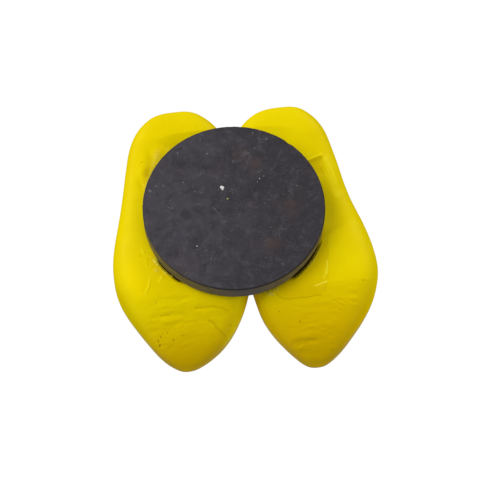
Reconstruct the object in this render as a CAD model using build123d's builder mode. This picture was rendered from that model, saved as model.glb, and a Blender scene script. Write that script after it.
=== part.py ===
from build123d import *
import math
import os

os.makedirs("parts", exist_ok=True)

# Novelty magnet in the shape of a pair of wooden clogs.
#
# Two small lacquered wooden clogs stand side by side, toes down, and are glued together
# along flats sanded on their inner sides.  A round ferrite disc is glued across both
# soles; its outer face is the one that grips a steel surface.
#
# Frame (millimetres): the origin is the centre of the disc's gripping face.  +Y is that
# face's outward normal, +Z runs from the toes up to the heels, and the clogs are open on
# the -Y side.  A depth d is counted from the sole plane towards -Y, and a distance q is
# counted from the heel end of a clog towards its toe.

# ---------------------------------------------------------------- driving dimensions
DISC_D = 30.0          # ferrite disc, a stock 30 x 3 size
DISC_T = 3.0
DISC_CHAMFER = 0.25    # broken edge of the sintered disc

GLUE_T = 0.30          # cured glue line between disc and soles
GLUE_D = 27.4          # the glue stops short of the disc's edge
GLUE_INSET = 1.6       # and short of the rounded sides of each sole
GLUE_REACH = 2.0       # bed before the sole is cut from it, enough to fill the sole's dips
FILM_T = 0.16          # squeezed-out film that lies on the soles
FILM_REACH = 4.0       # depth of the block that the film is cut from

JOINT_X = -1.35        # plane where the two clogs meet
JOINT_GLUE = 0.10      # glue film between the two sanded flats
JOINT_GLUE_Z = (-8.0, 10.5)
JOINT_GLUE_DEPTH = (2.2, 9.6)
JOINT_GLUE_CORNER = 2.5

WALL_SIDE = 1.9        # wood left at the sides of the foot hollow
WALL_VAMP = 2.3        # wood left over the toes
FLOOR = 3.6            # depth of the insole below the sole plane
HOLLOW_HEEL = 2.1      # where the hollow starts, from the heel end
HOLLOW_WIDEST = 13.0   # where it is widest
HOLLOW_TOE = 33.5      # how far it runs under the vamp
HOLLOW_MIDDLE = 0.42   # widest line of the hollow, as a share of the way from floor to roof
MOUTH_TOE = 22.8       # how far the opening runs towards the toe
MOUTH_STEP = 0.2       # the opening is this much tighter than the hollow below it
MOUTH_START = 3.4      # the opening's cut starts this far from the insole, inside the hollow
MOUTH_CUT = 20.0       # and runs this far, out through the upper side

SOLE_Y = -(DISC_T + GLUE_T)
CLOG_LENGTH = 45.5     # length that the profile tables below are written for

# Points round each closed spline.
BODY_POINTS = 32
HOLLOW_POINTS = 24
MOUTH_POINTS = 28

# ---------------------------------------------------------------- tables
# Side profile of a clog as (q, d) pairs: the sole, the upper side, the widest line.
SOLE_PROFILE = [
    (0, 6.2), (0.25, 2.9), (0.8, 1.0), (1.8, 0.2), (3.6, 0.0), (5.5, 0.08), (8, 0.5),
    (12, 1.1), (17, 1.25), (21, 0.8), (24, 0.2), (28, 0.0), (32.2, 0.0), (34.6, 0.4),
    (37, 1.45), (39.3, 3.0), (41.6, 4.9), (43.5, 6.7), (44.8, 8.1), (45.5, 9.6),
]
UPPER_PROFILE = [
    (0, 6.2), (0.25, 9.4), (0.8, 11.2), (1.8, 12.4), (3.6, 13.0), (8, 12.6), (12, 13.2),
    (17, 16.2), (21, 18.3), (24, 18.7), (28, 17.8), (32, 16.2), (36, 14.4), (39, 13.2),
    (41.5, 12.5), (43.5, 11.9), (44.8, 11.2), (45.5, 9.6),
]
WIDEST_LINE = [
    (0, 6.2), (2, 5.2), (8, 4.8), (16, 5.4), (24, 6.2), (32, 6.8), (38, 7.8), (42, 9.0),
    (45.5, 9.6),
]

# Squareness of a section on the sole side and the upper side of its widest line, as
# (q, squareness) pairs; 2 is an ellipse.
SOLE_SQUARENESS = [(0, 3.6), (4, 4.5), (30, 4.5), (38, 3.2), (45.5, 2.4)]
UPPER_SQUARENESS = [(0, 3.4), (4, 3.6), (16, 2.8), (24, 2.3), (45.5, 2.1)]
HOLLOW_SQUARENESS = 2.6   # of the hollow's sections and of its plan
MOUTH_SQUARENESS = 2.3    # of the opening's plan

# The q of the hollow's sections, and of the corners of a glue bed's plan.
HOLLOW_Q = (2.35, 3.2, 4.8, 7.5, 11.0, 15.0, 19.0, 23.0, 27.0, 30.5, 32.6, 33.3)
GLUE_Q = (3.0, 5.0, 8.0, 12.0, 17.0, 22.0, 27.0, 31.0)

# The q of the plan stations, spaced closer towards both ends.
STATIONS = 21
STATION_Q = [
    (1 - math.cos(math.pi * k / (STATIONS - 1))) / 2 * CLOG_LENGTH for k in range(STATIONS)
]

# Plan of each clog: X of its inner and outer side at the stations, from heel to toe.
# "side" is the direction along X in which the clog lies from the joint, and "film" is
# the (x, z) outline of the glue squeezed out onto its sole, which starts under the disc.
OUTLINES = {
    "right": {
        "side": 1,
        "heel_z": 22.17,
        "toe_z": -22.95,
        "inner": [7.07, 5.31, 3.63, 2.02, 0.50, -0.75, -1.68, -2.32, -2.75, -3.01, -3.09,
                  -2.95, -2.33, -1.31, -0.12, 1.33, 3.13, 5.24, 7.44, 9.42, 10.82],
        "outer": [7.07, 9.56, 11.74, 13.58, 15.06, 16.10, 16.84, 17.51, 18.24, 19.10,
                  20.02, 20.77, 20.99, 20.41, 19.06, 17.47, 15.95, 14.53, 13.02, 11.64,
                  10.82],
        "film": [(13.2, 4.0), (14.9, 7.6), (14.6, 10.2), (12.6, 13.4), (9.4, 14.8),
                 (6.4, 13.4), (7.6, 9.0), (10.6, 6.0)],
    },
    "left": {
        "side": -1,
        "heel_z": 20.74,
        "toe_z": -25.03,
        "inner": [-11.39, -8.50, -6.07, -4.07, -2.52, -1.41, -0.72, -0.35, -0.22, -0.27,
                  -0.45, -0.76, -1.28, -1.90, -2.56, -3.75, -5.34, -6.89, -8.24, -9.50,
                  -10.95],
        "outer": [-11.39, -13.07, -14.55, -15.95, -17.24, -18.10, -18.66, -19.19, -19.69,
                  -20.45, -21.45, -22.25, -22.70, -22.45, -21.19, -19.25, -17.14, -15.22,
                  -13.48, -12.01, -10.95],
        "film": [(-13.2, -3.2), (-14.6, -6.4), (-13.9, -10.0), (-12.4, -13.0),
                 (-11.6, -15.6), (-8.7, -15.9), (-5.6, -14.9), (-4.6, -12.6),
                 (-7.2, -9.6), (-10.6, -7.2)],
    },
}


# ---------------------------------------------------------------- shape functions
def smooth(table, x):
    """Monotone cubic through a table of (x, value) pairs."""
    xs, values = zip(*table)
    if x <= xs[0]:
        return values[0]
    if x >= xs[-1]:
        return values[-1]
    spans = [b - a for a, b in zip(xs, xs[1:])]
    slopes = [(b - a) / span for a, b, span in zip(values, values[1:], spans)]

    # a tangent is level at a peak or a dip, else a weighted harmonic mean of the slopes
    tangents = [slopes[0]] + [0.0] * (len(xs) - 2) + [slopes[-1]]
    for i in range(1, len(slopes)):
        if slopes[i - 1] * slopes[i] > 0:
            before = 2 * spans[i] + spans[i - 1]
            after = spans[i] + 2 * spans[i - 1]
            tangents[i] = (before + after) / (before / slopes[i - 1] + after / slopes[i])

    i = max(k for k in range(len(spans)) if xs[k] <= x)
    t = (x - xs[i]) / spans[i]
    return (
        (2 * t**3 - 3 * t**2 + 1) * values[i]
        + (t**3 - 2 * t**2 + t) * spans[i] * tangents[i]
        + (-2 * t**3 + 3 * t**2) * values[i + 1]
        + (t**3 - t**2) * spans[i] * tangents[i + 1]
    )


def squared(ratio, squareness):
    """Turn a sine or cosine into the matching coordinate of a unit superellipse."""
    if abs(ratio) <= 1e-12:
        return 0.0
    return math.copysign(abs(ratio) ** (2 / squareness), ratio)


def centre_and_half(a, b):
    return (a + b) / 2, abs(b - a) / 2


def section(z, centre, half, depths, squareness, count):
    """Cross-section normal to Z, from its depths (sole side, widest line, upper side)
    and its squareness (sole side, upper side)."""
    low, widest, high = depths
    points = []
    for k in range(count):
        angle = 2 * math.pi * k / count
        cosine, sine = math.cos(angle), math.sin(angle)
        power = squareness[0] if sine < 0 else squareness[1]
        across, along = squared(cosine, power), squared(sine, power)
        reach = widest - low if along < 0 else high - widest
        points.append((centre + half * across, SOLE_Y - (widest + reach * along)))
    with BuildSketch(Plane.XY.offset(z)) as sketch:
        with BuildLine():
            Spline(*points, periodic=True)
        make_face()
    return sketch.sketch


def z_at(outline, q):
    return outline["heel_z"] + (outline["toe_z"] - outline["heel_z"]) * q / CLOG_LENGTH


def flat_x(outline):
    """X of the flat sanded on the clog's inner side."""
    return JOINT_X + outline["side"] * JOINT_GLUE / 2


def sides_at(outline, q, inset):
    """X of the inner and outer side of the sanded clog at q, both moved in by an inset."""
    side = outline["side"]
    inner = smooth(list(zip(STATION_Q, outline["inner"])), q)
    outer = smooth(list(zip(STATION_Q, outline["outer"])), q)
    inner = side * max(side * inner, side * flat_x(outline))
    return inner + side * inset, outer - side * inset


# ---------------------------------------------------------------- the two clogs
def body_sections(outline):
    """Outer form between the heel end and the toe tip."""
    stations = list(zip(STATION_Q, outline["inner"], outline["outer"]))
    return [
        section(
            z_at(outline, q),
            *centre_and_half(inner, outer),
            depths=[smooth(line, q) for line in (SOLE_PROFILE, WIDEST_LINE, UPPER_PROFILE)],
            squareness=[smooth(table, q) for table in (SOLE_SQUARENESS, UPPER_SQUARENESS)],
            count=BODY_POINTS,
        )
        for q, inner, outer in stations[1:-1]
    ]


def hollow_opening(q):
    """How far the hollow has opened up at q: 0 at its ends, 1 where it is widest."""
    end = HOLLOW_HEEL if q < HOLLOW_WIDEST else HOLLOW_TOE
    gone = abs((q - HOLLOW_WIDEST) / (end - HOLLOW_WIDEST))
    return max(0.0, 1 - gone**HOLLOW_SQUARENESS) ** (1 / HOLLOW_SQUARENESS)


def hollow_sections(outline):
    """Foot hollow: rounded sections that keep a wall all round and run in under the vamp."""
    sections = []
    for q in HOLLOW_Q:
        centre, half = centre_and_half(*sides_at(outline, q, WALL_SIDE))
        opened = hollow_opening(q)
        roof = smooth(UPPER_PROFILE, q) - WALL_VAMP
        middle = FLOOR + HOLLOW_MIDDLE * (roof - FLOOR)
        low = middle - (middle - FLOOR) * opened
        high = middle + (roof - middle) * opened
        sections.append(section(
            z_at(outline, q), centre, half * opened,
            depths=(low, middle, high),
            squareness=(HOLLOW_SQUARENESS, HOLLOW_SQUARENESS),
            count=HOLLOW_POINTS,
        ))
    return sections


def mouth_points(outline):
    """Plan (x, z) of the opening, a rounded oval a little tighter than the hollow."""
    points = []
    for k in range(MOUTH_POINTS):
        angle = 2 * math.pi * k / MOUTH_POINTS
        along = squared(-math.cos(angle), MOUTH_SQUARENESS)
        across = squared(math.sin(angle), MOUTH_SQUARENESS)
        end = MOUTH_TOE if along > 0 else HOLLOW_HEEL + MOUTH_STEP
        q = HOLLOW_WIDEST + abs(along) * (end - HOLLOW_WIDEST)
        centre, half = centre_and_half(*sides_at(outline, q, WALL_SIDE + MOUTH_STEP))
        points.append((centre + half * across, z_at(outline, q)))
    return points


def build_clog(outline):
    heel_end = Vertex(outline["inner"][0], SOLE_Y - SOLE_PROFILE[0][1], outline["heel_z"])
    toe_tip = Vertex(outline["inner"][-1], SOLE_Y - SOLE_PROFILE[-1][1], outline["toe_z"])
    body = body_sections(outline)
    hollow = hollow_sections(outline)
    with BuildPart() as clog:
        loft(sections=[heel_end, *body, toe_tip])
        loft(sections=hollow, mode=Mode.SUBTRACT)
        with BuildSketch(Plane.XZ.offset(-SOLE_Y + FLOOR + MOUTH_START)):
            with BuildLine():
                Spline(*mouth_points(outline), periodic=True)
            make_face()
        extrude(amount=MOUTH_CUT, mode=Mode.SUBTRACT)
        # the sanded flat
        split(
            bisect_by=Plane(origin=(flat_x(outline), 0, 0), z_dir=(outline["side"], 0, 0)),
            keep=Keep.TOP,
        )
    return clog.part


# ---------------------------------------------------------------- ferrite disc
def build_disc():
    with BuildPart() as disc:
        with BuildSketch(Plane.XZ):
            Circle(DISC_D / 2)
        extrude(amount=DISC_T)
        chamfer(disc.edges().filter_by(GeomType.CIRCLE), length=DISC_CHAMFER)
    return disc.part


# ---------------------------------------------------------------- glue
def build_glue_pad(outline, clog):
    """Glue between the disc and one sole."""
    # plan of the flat part of this sole, inside its rounded sides
    inner_line, outer_line = [], []
    for q in GLUE_Q:
        inner, outer = sides_at(outline, q, GLUE_INSET)
        inner_line.append((inner, z_at(outline, q)))
        outer_line.append((outer, z_at(outline, q)))

    with BuildPart() as pad:
        # squeezed-out film: a thin skin that follows the sole
        with BuildSketch(Plane.XZ.offset(DISC_T)):
            with BuildLine():
                Spline(*outline["film"], periodic=True)
            make_face()
        extrude(amount=FILM_REACH)
        add(clog.moved(Location((0, FILM_T, 0))), mode=Mode.INTERSECT)
        # glue bed: fills the space between the disc's back and the sole
        with BuildSketch(Plane.XZ.offset(DISC_T)):
            with BuildLine():
                Polyline(*inner_line, *reversed(outer_line), close=True)
            make_face()
            Circle(GLUE_D / 2, mode=Mode.INTERSECT)
        extrude(amount=GLUE_REACH)
        add(clog, mode=Mode.SUBTRACT)
    return pad.part


def build_joint_glue():
    """Glue film between the clogs' sanded flats."""
    depth, half_depth = centre_and_half(*JOINT_GLUE_DEPTH)
    z, half_height = centre_and_half(*JOINT_GLUE_Z)
    with BuildPart() as joint:
        with BuildSketch(Plane.YZ.offset(JOINT_X - JOINT_GLUE / 2)):
            with Locations((SOLE_Y - depth, z)):
                RectangleRounded(2 * half_depth, 2 * half_height, radius=JOINT_GLUE_CORNER)
        extrude(amount=JOINT_GLUE)
    return joint.part


# ---------------------------------------------------------------- build and export
def save(part, name):
    part.label = name
    export_step(part, f"parts/{name}.step")


for name, outline in OUTLINES.items():
    clog = build_clog(outline)
    save(clog, f"{name}_clog")
    save(build_glue_pad(outline, clog), f"{name}_glue_pad")

save(build_disc(), "ferrite_disc")
save(build_joint_glue(), "clog_joint_glue")
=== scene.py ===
"""A pair of lacquered wooden clogs, side by side, glued by their soles to a ferrite disc magnet.

Shapes are worked out in millimetres and scaled to metres when a piece is finished.
Origin: centre of the magnet's gripping face.  +Y is that face's normal, +Z runs from the
toes to the heels, the right clog lies on +X, and the clogs are open towards -Y.
"""

import math
from contextlib import contextmanager
from functools import reduce

import bmesh
import bpy
import numpy as np
from mathutils import Matrix, Vector
from mathutils.bvhtree import BVHTree


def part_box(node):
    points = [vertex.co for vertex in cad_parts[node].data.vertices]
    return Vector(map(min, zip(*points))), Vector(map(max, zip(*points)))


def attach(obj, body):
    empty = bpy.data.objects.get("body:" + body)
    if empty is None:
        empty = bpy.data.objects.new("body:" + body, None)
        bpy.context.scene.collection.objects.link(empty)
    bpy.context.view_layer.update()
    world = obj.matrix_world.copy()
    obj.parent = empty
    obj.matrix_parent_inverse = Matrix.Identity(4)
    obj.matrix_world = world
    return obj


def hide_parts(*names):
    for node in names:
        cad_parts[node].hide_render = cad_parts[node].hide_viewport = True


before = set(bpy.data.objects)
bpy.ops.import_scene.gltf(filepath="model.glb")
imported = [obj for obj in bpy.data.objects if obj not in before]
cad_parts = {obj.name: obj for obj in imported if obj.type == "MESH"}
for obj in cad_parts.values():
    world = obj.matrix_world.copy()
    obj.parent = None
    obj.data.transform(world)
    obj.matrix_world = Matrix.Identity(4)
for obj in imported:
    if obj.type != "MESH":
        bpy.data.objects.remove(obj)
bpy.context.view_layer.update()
scene = bpy.context.scene
MM = 0.001


def node_box(node):
    low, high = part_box(node)
    return [c / MM for c in low], [c / MM for c in high]


# ------------------------------------------------------------------ main dimensions
DISC_LOW, DISC_HIGH = node_box("ferrite_disc")
DISC_R = (DISC_HIGH[0] - DISC_LOW[0]) / 2
DISC_T = DISC_HIGH[1] - DISC_LOW[1]
GLUE_BED = 0.3
SOLE_Y = DISC_LOW[1] - GLUE_BED   # depths in a clog are measured from here towards -Y
CLOG_LENGTH = 45.5

# Side view of a clog: (mm from the heel, depth)
SOLE_PROFILE = [
    (0, 6.2), (0.25, 2.9), (0.8, 1.0), (1.8, 0.2), (3.6, 0.0), (5.5, 0.08), (8, 0.5),
    (12, 1.1), (17, 1.25), (21, 0.8), (24, 0.2), (28, 0.0), (32.2, 0.0), (34.6, 0.4),
    (37, 1.45), (39.3, 3.0), (41.6, 4.9), (43.5, 6.7), (44.8, 8.1), (45.5, 9.6),
]
UPPER_PROFILE = [
    (0, 6.2), (0.25, 9.4), (0.8, 11.2), (1.8, 12.4), (3.6, 13.0), (8, 12.6), (12, 13.2),
    (17, 16.2), (21, 18.3), (24, 18.7), (28, 17.8), (32, 16.2), (36, 14.4), (39, 13.2),
    (41.5, 12.5), (43.5, 11.9), (44.8, 11.2), (45.5, 9.6),
]
WIDEST_LINE = [
    (0, 6.2), (2, 5.2), (8, 4.8), (16, 5.4), (24, 6.2), (32, 6.8), (38, 7.8), (42, 9.0),
    (45.5, 9.6),
]
# Superellipse power of the cross-section: (mm from the heel, power)
SOLE_SQUARENESS = [(0, 3.6), (4, 4.5), (30, 4.6), (38, 4.6), (43, 3.6), (45.5, 2.6)]
INNER_SQUARENESS = [(0, 3.6), (4, 4.5), (30, 4.6), (38, 4.8), (42, 4.2), (45.5, 2.6)]
UPPER_SQUARENESS = [(0, 3.4), (4, 3.6), (16, 2.8), (24, 2.3), (45.5, 2.1)]
# Plan view: x of each side at even steps of the angle whose cosine runs from heel to toe
OUTLINES = {
    "right_clog": {
        "inner": [7.07, 5.31, 3.63, 2.02, 0.50, -0.75, -1.68, -2.32, -2.75, -3.01, -3.09,
                  -2.95, -2.33, -1.31, -0.12, 1.33, 3.13, 5.24, 7.44, 9.42, 10.82],
        "outer": [7.07, 9.56, 11.74, 13.58, 15.06, 16.10, 16.84, 17.51, 18.24, 19.10,
                  20.02, 20.77, 20.99, 20.41, 19.06, 17.47, 15.95, 14.53, 13.02, 11.64,
                  10.82],
    },
    "left_clog": {
        "inner": [-11.39, -8.50, -6.07, -4.07, -2.52, -1.41, -0.72, -0.35, -0.22, -0.27,
                  -0.45, -0.76, -1.28, -1.90, -2.56, -3.75, -5.34, -6.89, -8.24, -9.50,
                  -10.95],
        "outer": [-11.39, -13.07, -14.55, -15.95, -17.24, -18.10, -18.66, -19.19, -19.69,
                  -20.45, -21.45, -22.25, -22.70, -22.45, -21.19, -19.25, -17.14, -15.22,
                  -13.48, -12.01, -10.95],
    },
}
OUTER_STATIONS, OUTER_POINTS = 150, 160
FLOOR, WALL_SIDE, WALL_VAMP = 3.6, 1.9, 2.3
HOLLOW_SQUARENESS = 2.6
HOLLOW_HEEL, HOLLOW_WIDEST, HOLLOW_TOE = 2.1, 13.0, 33.5   # mm from the heel
HOLLOW_NOSE = 3.5                                          # closely spaced toe end
MOUTH_TOE, MOUTH_STEP, MOUTH_SQUARENESS = 22.8, 0.2, 2.3
MOUTH_DEEPEST, MOUTH_OUT = FLOOR + 3.4, 26.0               # depths the mouth cutter spans


# ------------------------------------------------------------------ numbers in, shapes out
def pchip(table, x):
    """Monotone cubic through the (x, value) rows of a table."""
    knots, values = np.array(table, float).T
    x = np.clip(np.asarray(x, float), knots[0], knots[-1])
    gap = np.diff(knots)
    slope = np.diff(values) / gap
    tangent = np.zeros(len(knots))
    tangent[0], tangent[-1] = slope[0], slope[-1]
    after, before = 2 * gap[1:] + gap[:-1], gap[1:] + 2 * gap[:-1]
    same = slope[:-1] * slope[1:] > 0
    tangent[1:-1][same] = (after + before)[same] / (
        after[same] / slope[:-1][same] + before[same] / slope[1:][same])
    i = np.clip(np.searchsorted(knots, x, side="right") - 1, 0, len(knots) - 2)
    t = (x - knots[i]) / gap[i]
    return (
        (2 * t**3 - 3 * t**2 + 1) * values[i] + (t**3 - 2 * t**2 + t) * gap[i] * tangent[i]
        + (-2 * t**3 + 3 * t**2) * values[i + 1] + (t**3 - t**2) * gap[i] * tangent[i + 1]
    )


def cubic(values, share):
    """Natural cubic spline through values at even steps of share from 0 to 1."""
    values = np.asarray(values, float)
    last = len(values) - 1
    system = np.zeros((last + 1, last + 1))
    target = np.zeros(last + 1)
    system[0, 0] = system[last, last] = 1
    for i in range(1, last):
        system[i, i - 1], system[i, i], system[i, i + 1] = 1, 4, 1
        target[i] = 6 * (values[i - 1] - 2 * values[i] + values[i + 1])
    curve = np.linalg.solve(system, target)
    place = np.clip(np.asarray(share, float), 0, 1) * last
    i = np.clip(place.astype(int), 0, last - 1)
    t = place - i
    return (
        values[i] * (1 - t) + values[i + 1] * t
        + ((1 - t) ** 3 - (1 - t)) * curve[i] / 6 + (t**3 - t) * curve[i + 1] / 6
    )


def step(start, end, x):
    """Smooth step from 0 at start to 1 at end; start may be the larger."""
    t = np.clip((np.asarray(x, float) - start) / (end - start), 0, 1)
    return t * t * (3 - 2 * t)


def signed_power(wave, power):
    return np.sign(wave) * np.abs(wave) ** power


def points_at(x, y, z):
    return np.stack(np.broadcast_arrays(x, y, z), -1)


def lattice(x, y, z, seed):
    """Hash of whole-number positions, in [-1, 1]."""
    with np.errstate(over="ignore"):
        code = (
            x.astype(np.uint32) * np.uint32(374761393)
            + y.astype(np.uint32) * np.uint32(668265263)
            + z.astype(np.uint32) * np.uint32(2246822519)
            + np.uint32(seed * 3266489917 & 0xFFFFFFFF)
        )
        code = (code ^ (code >> np.uint32(15))) * np.uint32(2246822519)
        code = (code ^ (code >> np.uint32(13))) * np.uint32(3266489917)
        code = code ^ (code >> np.uint32(16))
    return code.astype(np.float64) / 4294967295.0 * 2 - 1


def noise(points, seed=0):
    """Smooth value noise in [-1, 1] at points (n, 3); one cell per unit."""
    points = np.asarray(points, float) + 517.0
    cell = np.floor(points).astype(np.int64)
    part = points - cell
    part = part * part * part * (part * (part * 6 - 15) + 10)
    weight = (1 - part, part)
    total = 0
    for i, j, k in np.ndindex(2, 2, 2):
        corner = weight[i][:, 0] * weight[j][:, 1] * weight[k][:, 2]
        total = total + corner * lattice(cell[:, 0] + i, cell[:, 1] + j, cell[:, 2] + k, seed)
    return total


def fbm(points, seed=0, octaves=3):
    """Layers of noise, each twice as fine and half as strong as the last."""
    total, strength, whole = 0, 1.0, 0.0
    for i in range(octaves):
        total = total + strength * noise(np.asarray(points) * 2.03**i, seed + 31 * i)
        whole += strength
        strength *= 0.5
    return total / whole


def spot(x, z, centre_x, centre_z, radius_x, radius_z=None, turn=0.0):
    """A smooth round or oval bump of height 1."""
    radius_z = radius_x if radius_z is None else radius_z
    cos, sin = math.cos(math.radians(turn)), math.sin(math.radians(turn))
    across = (x - centre_x) * cos + (z - centre_z) * sin
    up = -(x - centre_x) * sin + (z - centre_z) * cos
    return np.exp(-((across / radius_x) ** 2 + (up / radius_z) ** 2))


def along(x, z, points):
    """(distance to a polyline, signed side distance, share of the way along it)."""
    nearest = np.full(np.shape(x), 1e9)
    side = np.zeros(np.shape(x))
    share = np.zeros(np.shape(x))
    lengths = [math.dist(a, b) for a, b in zip(points, points[1:])]
    total, gone = sum(lengths), 0.0
    for (start_x, start_z), (end_x, end_z), length in zip(points, points[1:], lengths):
        way_x, way_z = (end_x - start_x) / length, (end_z - start_z) / length
        off_x, off_z = x - start_x, z - start_z
        t = np.clip(off_x * way_x + off_z * way_z, 0, length)
        distance = np.hypot(off_x - t * way_x, off_z - t * way_z)
        closer = distance < nearest
        nearest = np.where(closer, distance, nearest)
        side = np.where(closer, off_x * way_z - off_z * way_x, side)
        share = np.where(closer, (gone + t) / total, share)
        gone += length
    return nearest, side, share


def window(share, head, tail):
    return step(0, head, share) * step(0, tail, 1 - share)


def groove(x, z, points, width, fade):
    """A line of height 1 along a polyline that fades out at both ends."""
    distance, _, share = along(x, z, points)
    return np.exp(-((distance / width) ** 2)) * window(share, fade, fade)


def cut_corners(points, rounds, closed):
    """Corner cutting, to turn a rough line or outline into a smooth one."""
    for _ in range(rounds):
        out = [] if closed else [points[0]]
        for a, b in zip(points, points[1:] + points[:1] if closed else points[1:]):
            out.append((0.75 * a[0] + 0.25 * b[0], 0.75 * a[1] + 0.25 * b[1]))
            out.append((0.25 * a[0] + 0.75 * b[0], 0.25 * a[1] + 0.75 * b[1]))
        points = out if closed else out + [points[-1]]
    return points


def ledge(x, z, points, drop, run, back, head, tail):
    """A step down on the positive side of a line, which recovers over the distance back."""
    _, side, share = along(x, z, cut_corners(points, 2, False))
    recover = np.exp(-np.maximum(side, 0) / back)
    return -drop * step(-0.15 * run, run, side) * recover * window(share, head, tail)


def fall(x, z, points, sign, drop, run, reach, head, tail):
    """A surface that breaks downwards along a line, flattens out and comes back."""
    _, side, share = along(x, z, cut_corners(points, 2, False))
    side = np.maximum(sign * side, 0)
    return (-drop * (1 - np.exp(-side / run)) * step(2.2 * reach, reach, side)
            * window(share, head, tail))


# ------------------------------------------------------------------ mesh helpers
@contextmanager
def editing(mesh):
    edit = bmesh.new()
    edit.from_mesh(mesh)
    yield edit
    edit.to_mesh(mesh)
    edit.free()


def closed_mesh(name, verts, faces):
    mesh = bpy.data.meshes.new(name)
    mesh.from_pydata(verts, [], faces)
    mesh.validate()
    with editing(mesh) as edit:
        bmesh.ops.recalc_face_normals(edit, faces=edit.faces)
    return mesh


def rings_mesh(name, first, rings, last):
    """A closed tube of rings of points, closed at each end on one point."""
    count = len(rings[0])
    verts = [first] + [tuple(p) for ring in rings for p in ring] + [last]
    final = 1 + (len(rings) - 1) * count
    faces = []
    for j in range(count):
        after = (j + 1) % count
        faces.append((0, 1 + after, 1 + j))
        for start in range(1, final, count):
            end = start + count
            faces.append((start + j, start + after, end + after, end + j))
        faces.append((final + j, final + after, len(verts) - 1))
    return closed_mesh(name, verts, faces)


def add_object(name, mesh):
    made = bpy.data.objects.new(name, mesh)
    scene.collection.objects.link(made)
    return made


def evaluated_mesh(made):
    graph = bpy.context.evaluated_depsgraph_get()
    return bpy.data.meshes.new_from_object(made.evaluated_get(graph))


def drop_objects(*made):
    for item in made:
        mesh = item.data
        bpy.data.objects.remove(item)
        if mesh.users == 0:
            bpy.data.meshes.remove(mesh)


def coords(mesh):
    flat = np.empty(len(mesh.vertices) * 3)
    mesh.vertices.foreach_get("co", flat)
    return flat.reshape(-1, 3)


def set_coords(mesh, points):
    mesh.vertices.foreach_set("co", np.asarray(points, np.float32).ravel())
    mesh.update()


def vertex_normals(mesh):
    flat = np.empty(len(mesh.vertices) * 3, np.float32)
    mesh.vertex_normals.foreach_get("vector", flat)
    return flat.reshape(-1, 3).astype(float)


def relax(mesh, rounds, amount=0.5):
    """Moves every vertex towards the mean of its neighbours."""
    points = coords(mesh)
    edges = np.empty(len(mesh.edges) * 2, np.int64)
    mesh.edges.foreach_get("vertices", edges)
    edges = edges.reshape(-1, 2)
    size = len(points)
    count = np.bincount(edges.ravel(), minlength=size).astype(float)[:, None]
    for _ in range(rounds):
        total = np.zeros_like(points)
        for k in range(3):
            total[:, k] = (np.bincount(edges[:, 0], points[edges[:, 1], k], size)
                           + np.bincount(edges[:, 1], points[edges[:, 0], k], size))
        points = points + amount * (total / count - points)
    set_coords(mesh, points)


def add_attribute(mesh, name, values):
    attribute = mesh.attributes.new(name, "FLOAT", "POINT")
    attribute.data.foreach_set("value", np.asarray(values, np.float32))


def shade_smooth(mesh):
    mesh.polygons.foreach_set("use_smooth", [True] * len(mesh.polygons))


def finish_piece(name, mesh, material, node):
    """Scales a mesh to metres and lets its object stand in for a CAD node."""
    mesh.materials.clear()
    mesh.materials.append(material)
    set_coords(mesh, coords(mesh) * MM)
    mesh.name = name
    piece = add_object(name, mesh)
    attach(piece, "root")
    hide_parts(node)


# ------------------------------------------------------------------ shape of the clogs
class Clog:
    """One clog's outline, placed by the box of its CAD node."""

    def __init__(self, name):
        low, high = node_box(name)
        self.name = name
        self.heel_z, self.toe_z = high[2], low[2]
        self.side = 1 if high[0] > 5 else -1
        self.flat_x = low[0] if self.side > 0 else high[0]
        self.inner = np.array(OUTLINES[name]["inner"])
        self.outer = np.array(OUTLINES[name]["outer"])

    def from_heel(self, z):
        return (self.heel_z - z) * CLOG_LENGTH / (self.heel_z - self.toe_z)

    def z_at(self, from_heel):
        return self.heel_z - (self.heel_z - self.toe_z) * np.asarray(from_heel) / CLOG_LENGTH

    def sides(self, from_heel):
        cos = np.clip(1 - 2 * np.asarray(from_heel, float) / CLOG_LENGTH, -1, 1)
        share = np.arccos(cos) / math.pi
        return cubic(self.inner, share), cubic(self.outer, share)

    def cut_sides(self, from_heel, inset):
        """Both sides after the cut at the flat, moved in by inset."""
        inner, outer = self.sides(from_heel)
        limit = np.maximum if self.side > 0 else np.minimum
        return limit(inner, self.flat_x) + self.side * inset, outer - self.side * inset

    def across(self, x, from_heel):
        """-1 at the inner side, +1 at the outer side."""
        inner, outer = self.sides(from_heel)
        return (2 * np.asarray(x) - inner - outer) / (outer - inner)


def profiles(from_heel):
    """Depths of the sole, the upper and the widest line."""
    return [pchip(table, from_heel) for table in (SOLE_PROFILE, UPPER_PROFILE, WIDEST_LINE)]


def circle(count):
    angle = np.linspace(0, 2 * math.pi, count, endpoint=False)
    return np.cos(angle)[None], np.sin(angle)[None]


def cross_sections(clog, from_heel, centre, half, middle, to_sole, to_upper, sideways, upright):
    """Rings across the clog: centre and half are widths in x, the others depths."""
    x = centre[:, None] + half[:, None] * sideways
    reach = np.where(upright < 0, to_sole[:, None], to_upper[:, None])
    z = clog.z_at(from_heel)[:, None]
    return points_at(x, SOLE_Y - (middle[:, None] + reach * upright), z)


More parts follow.
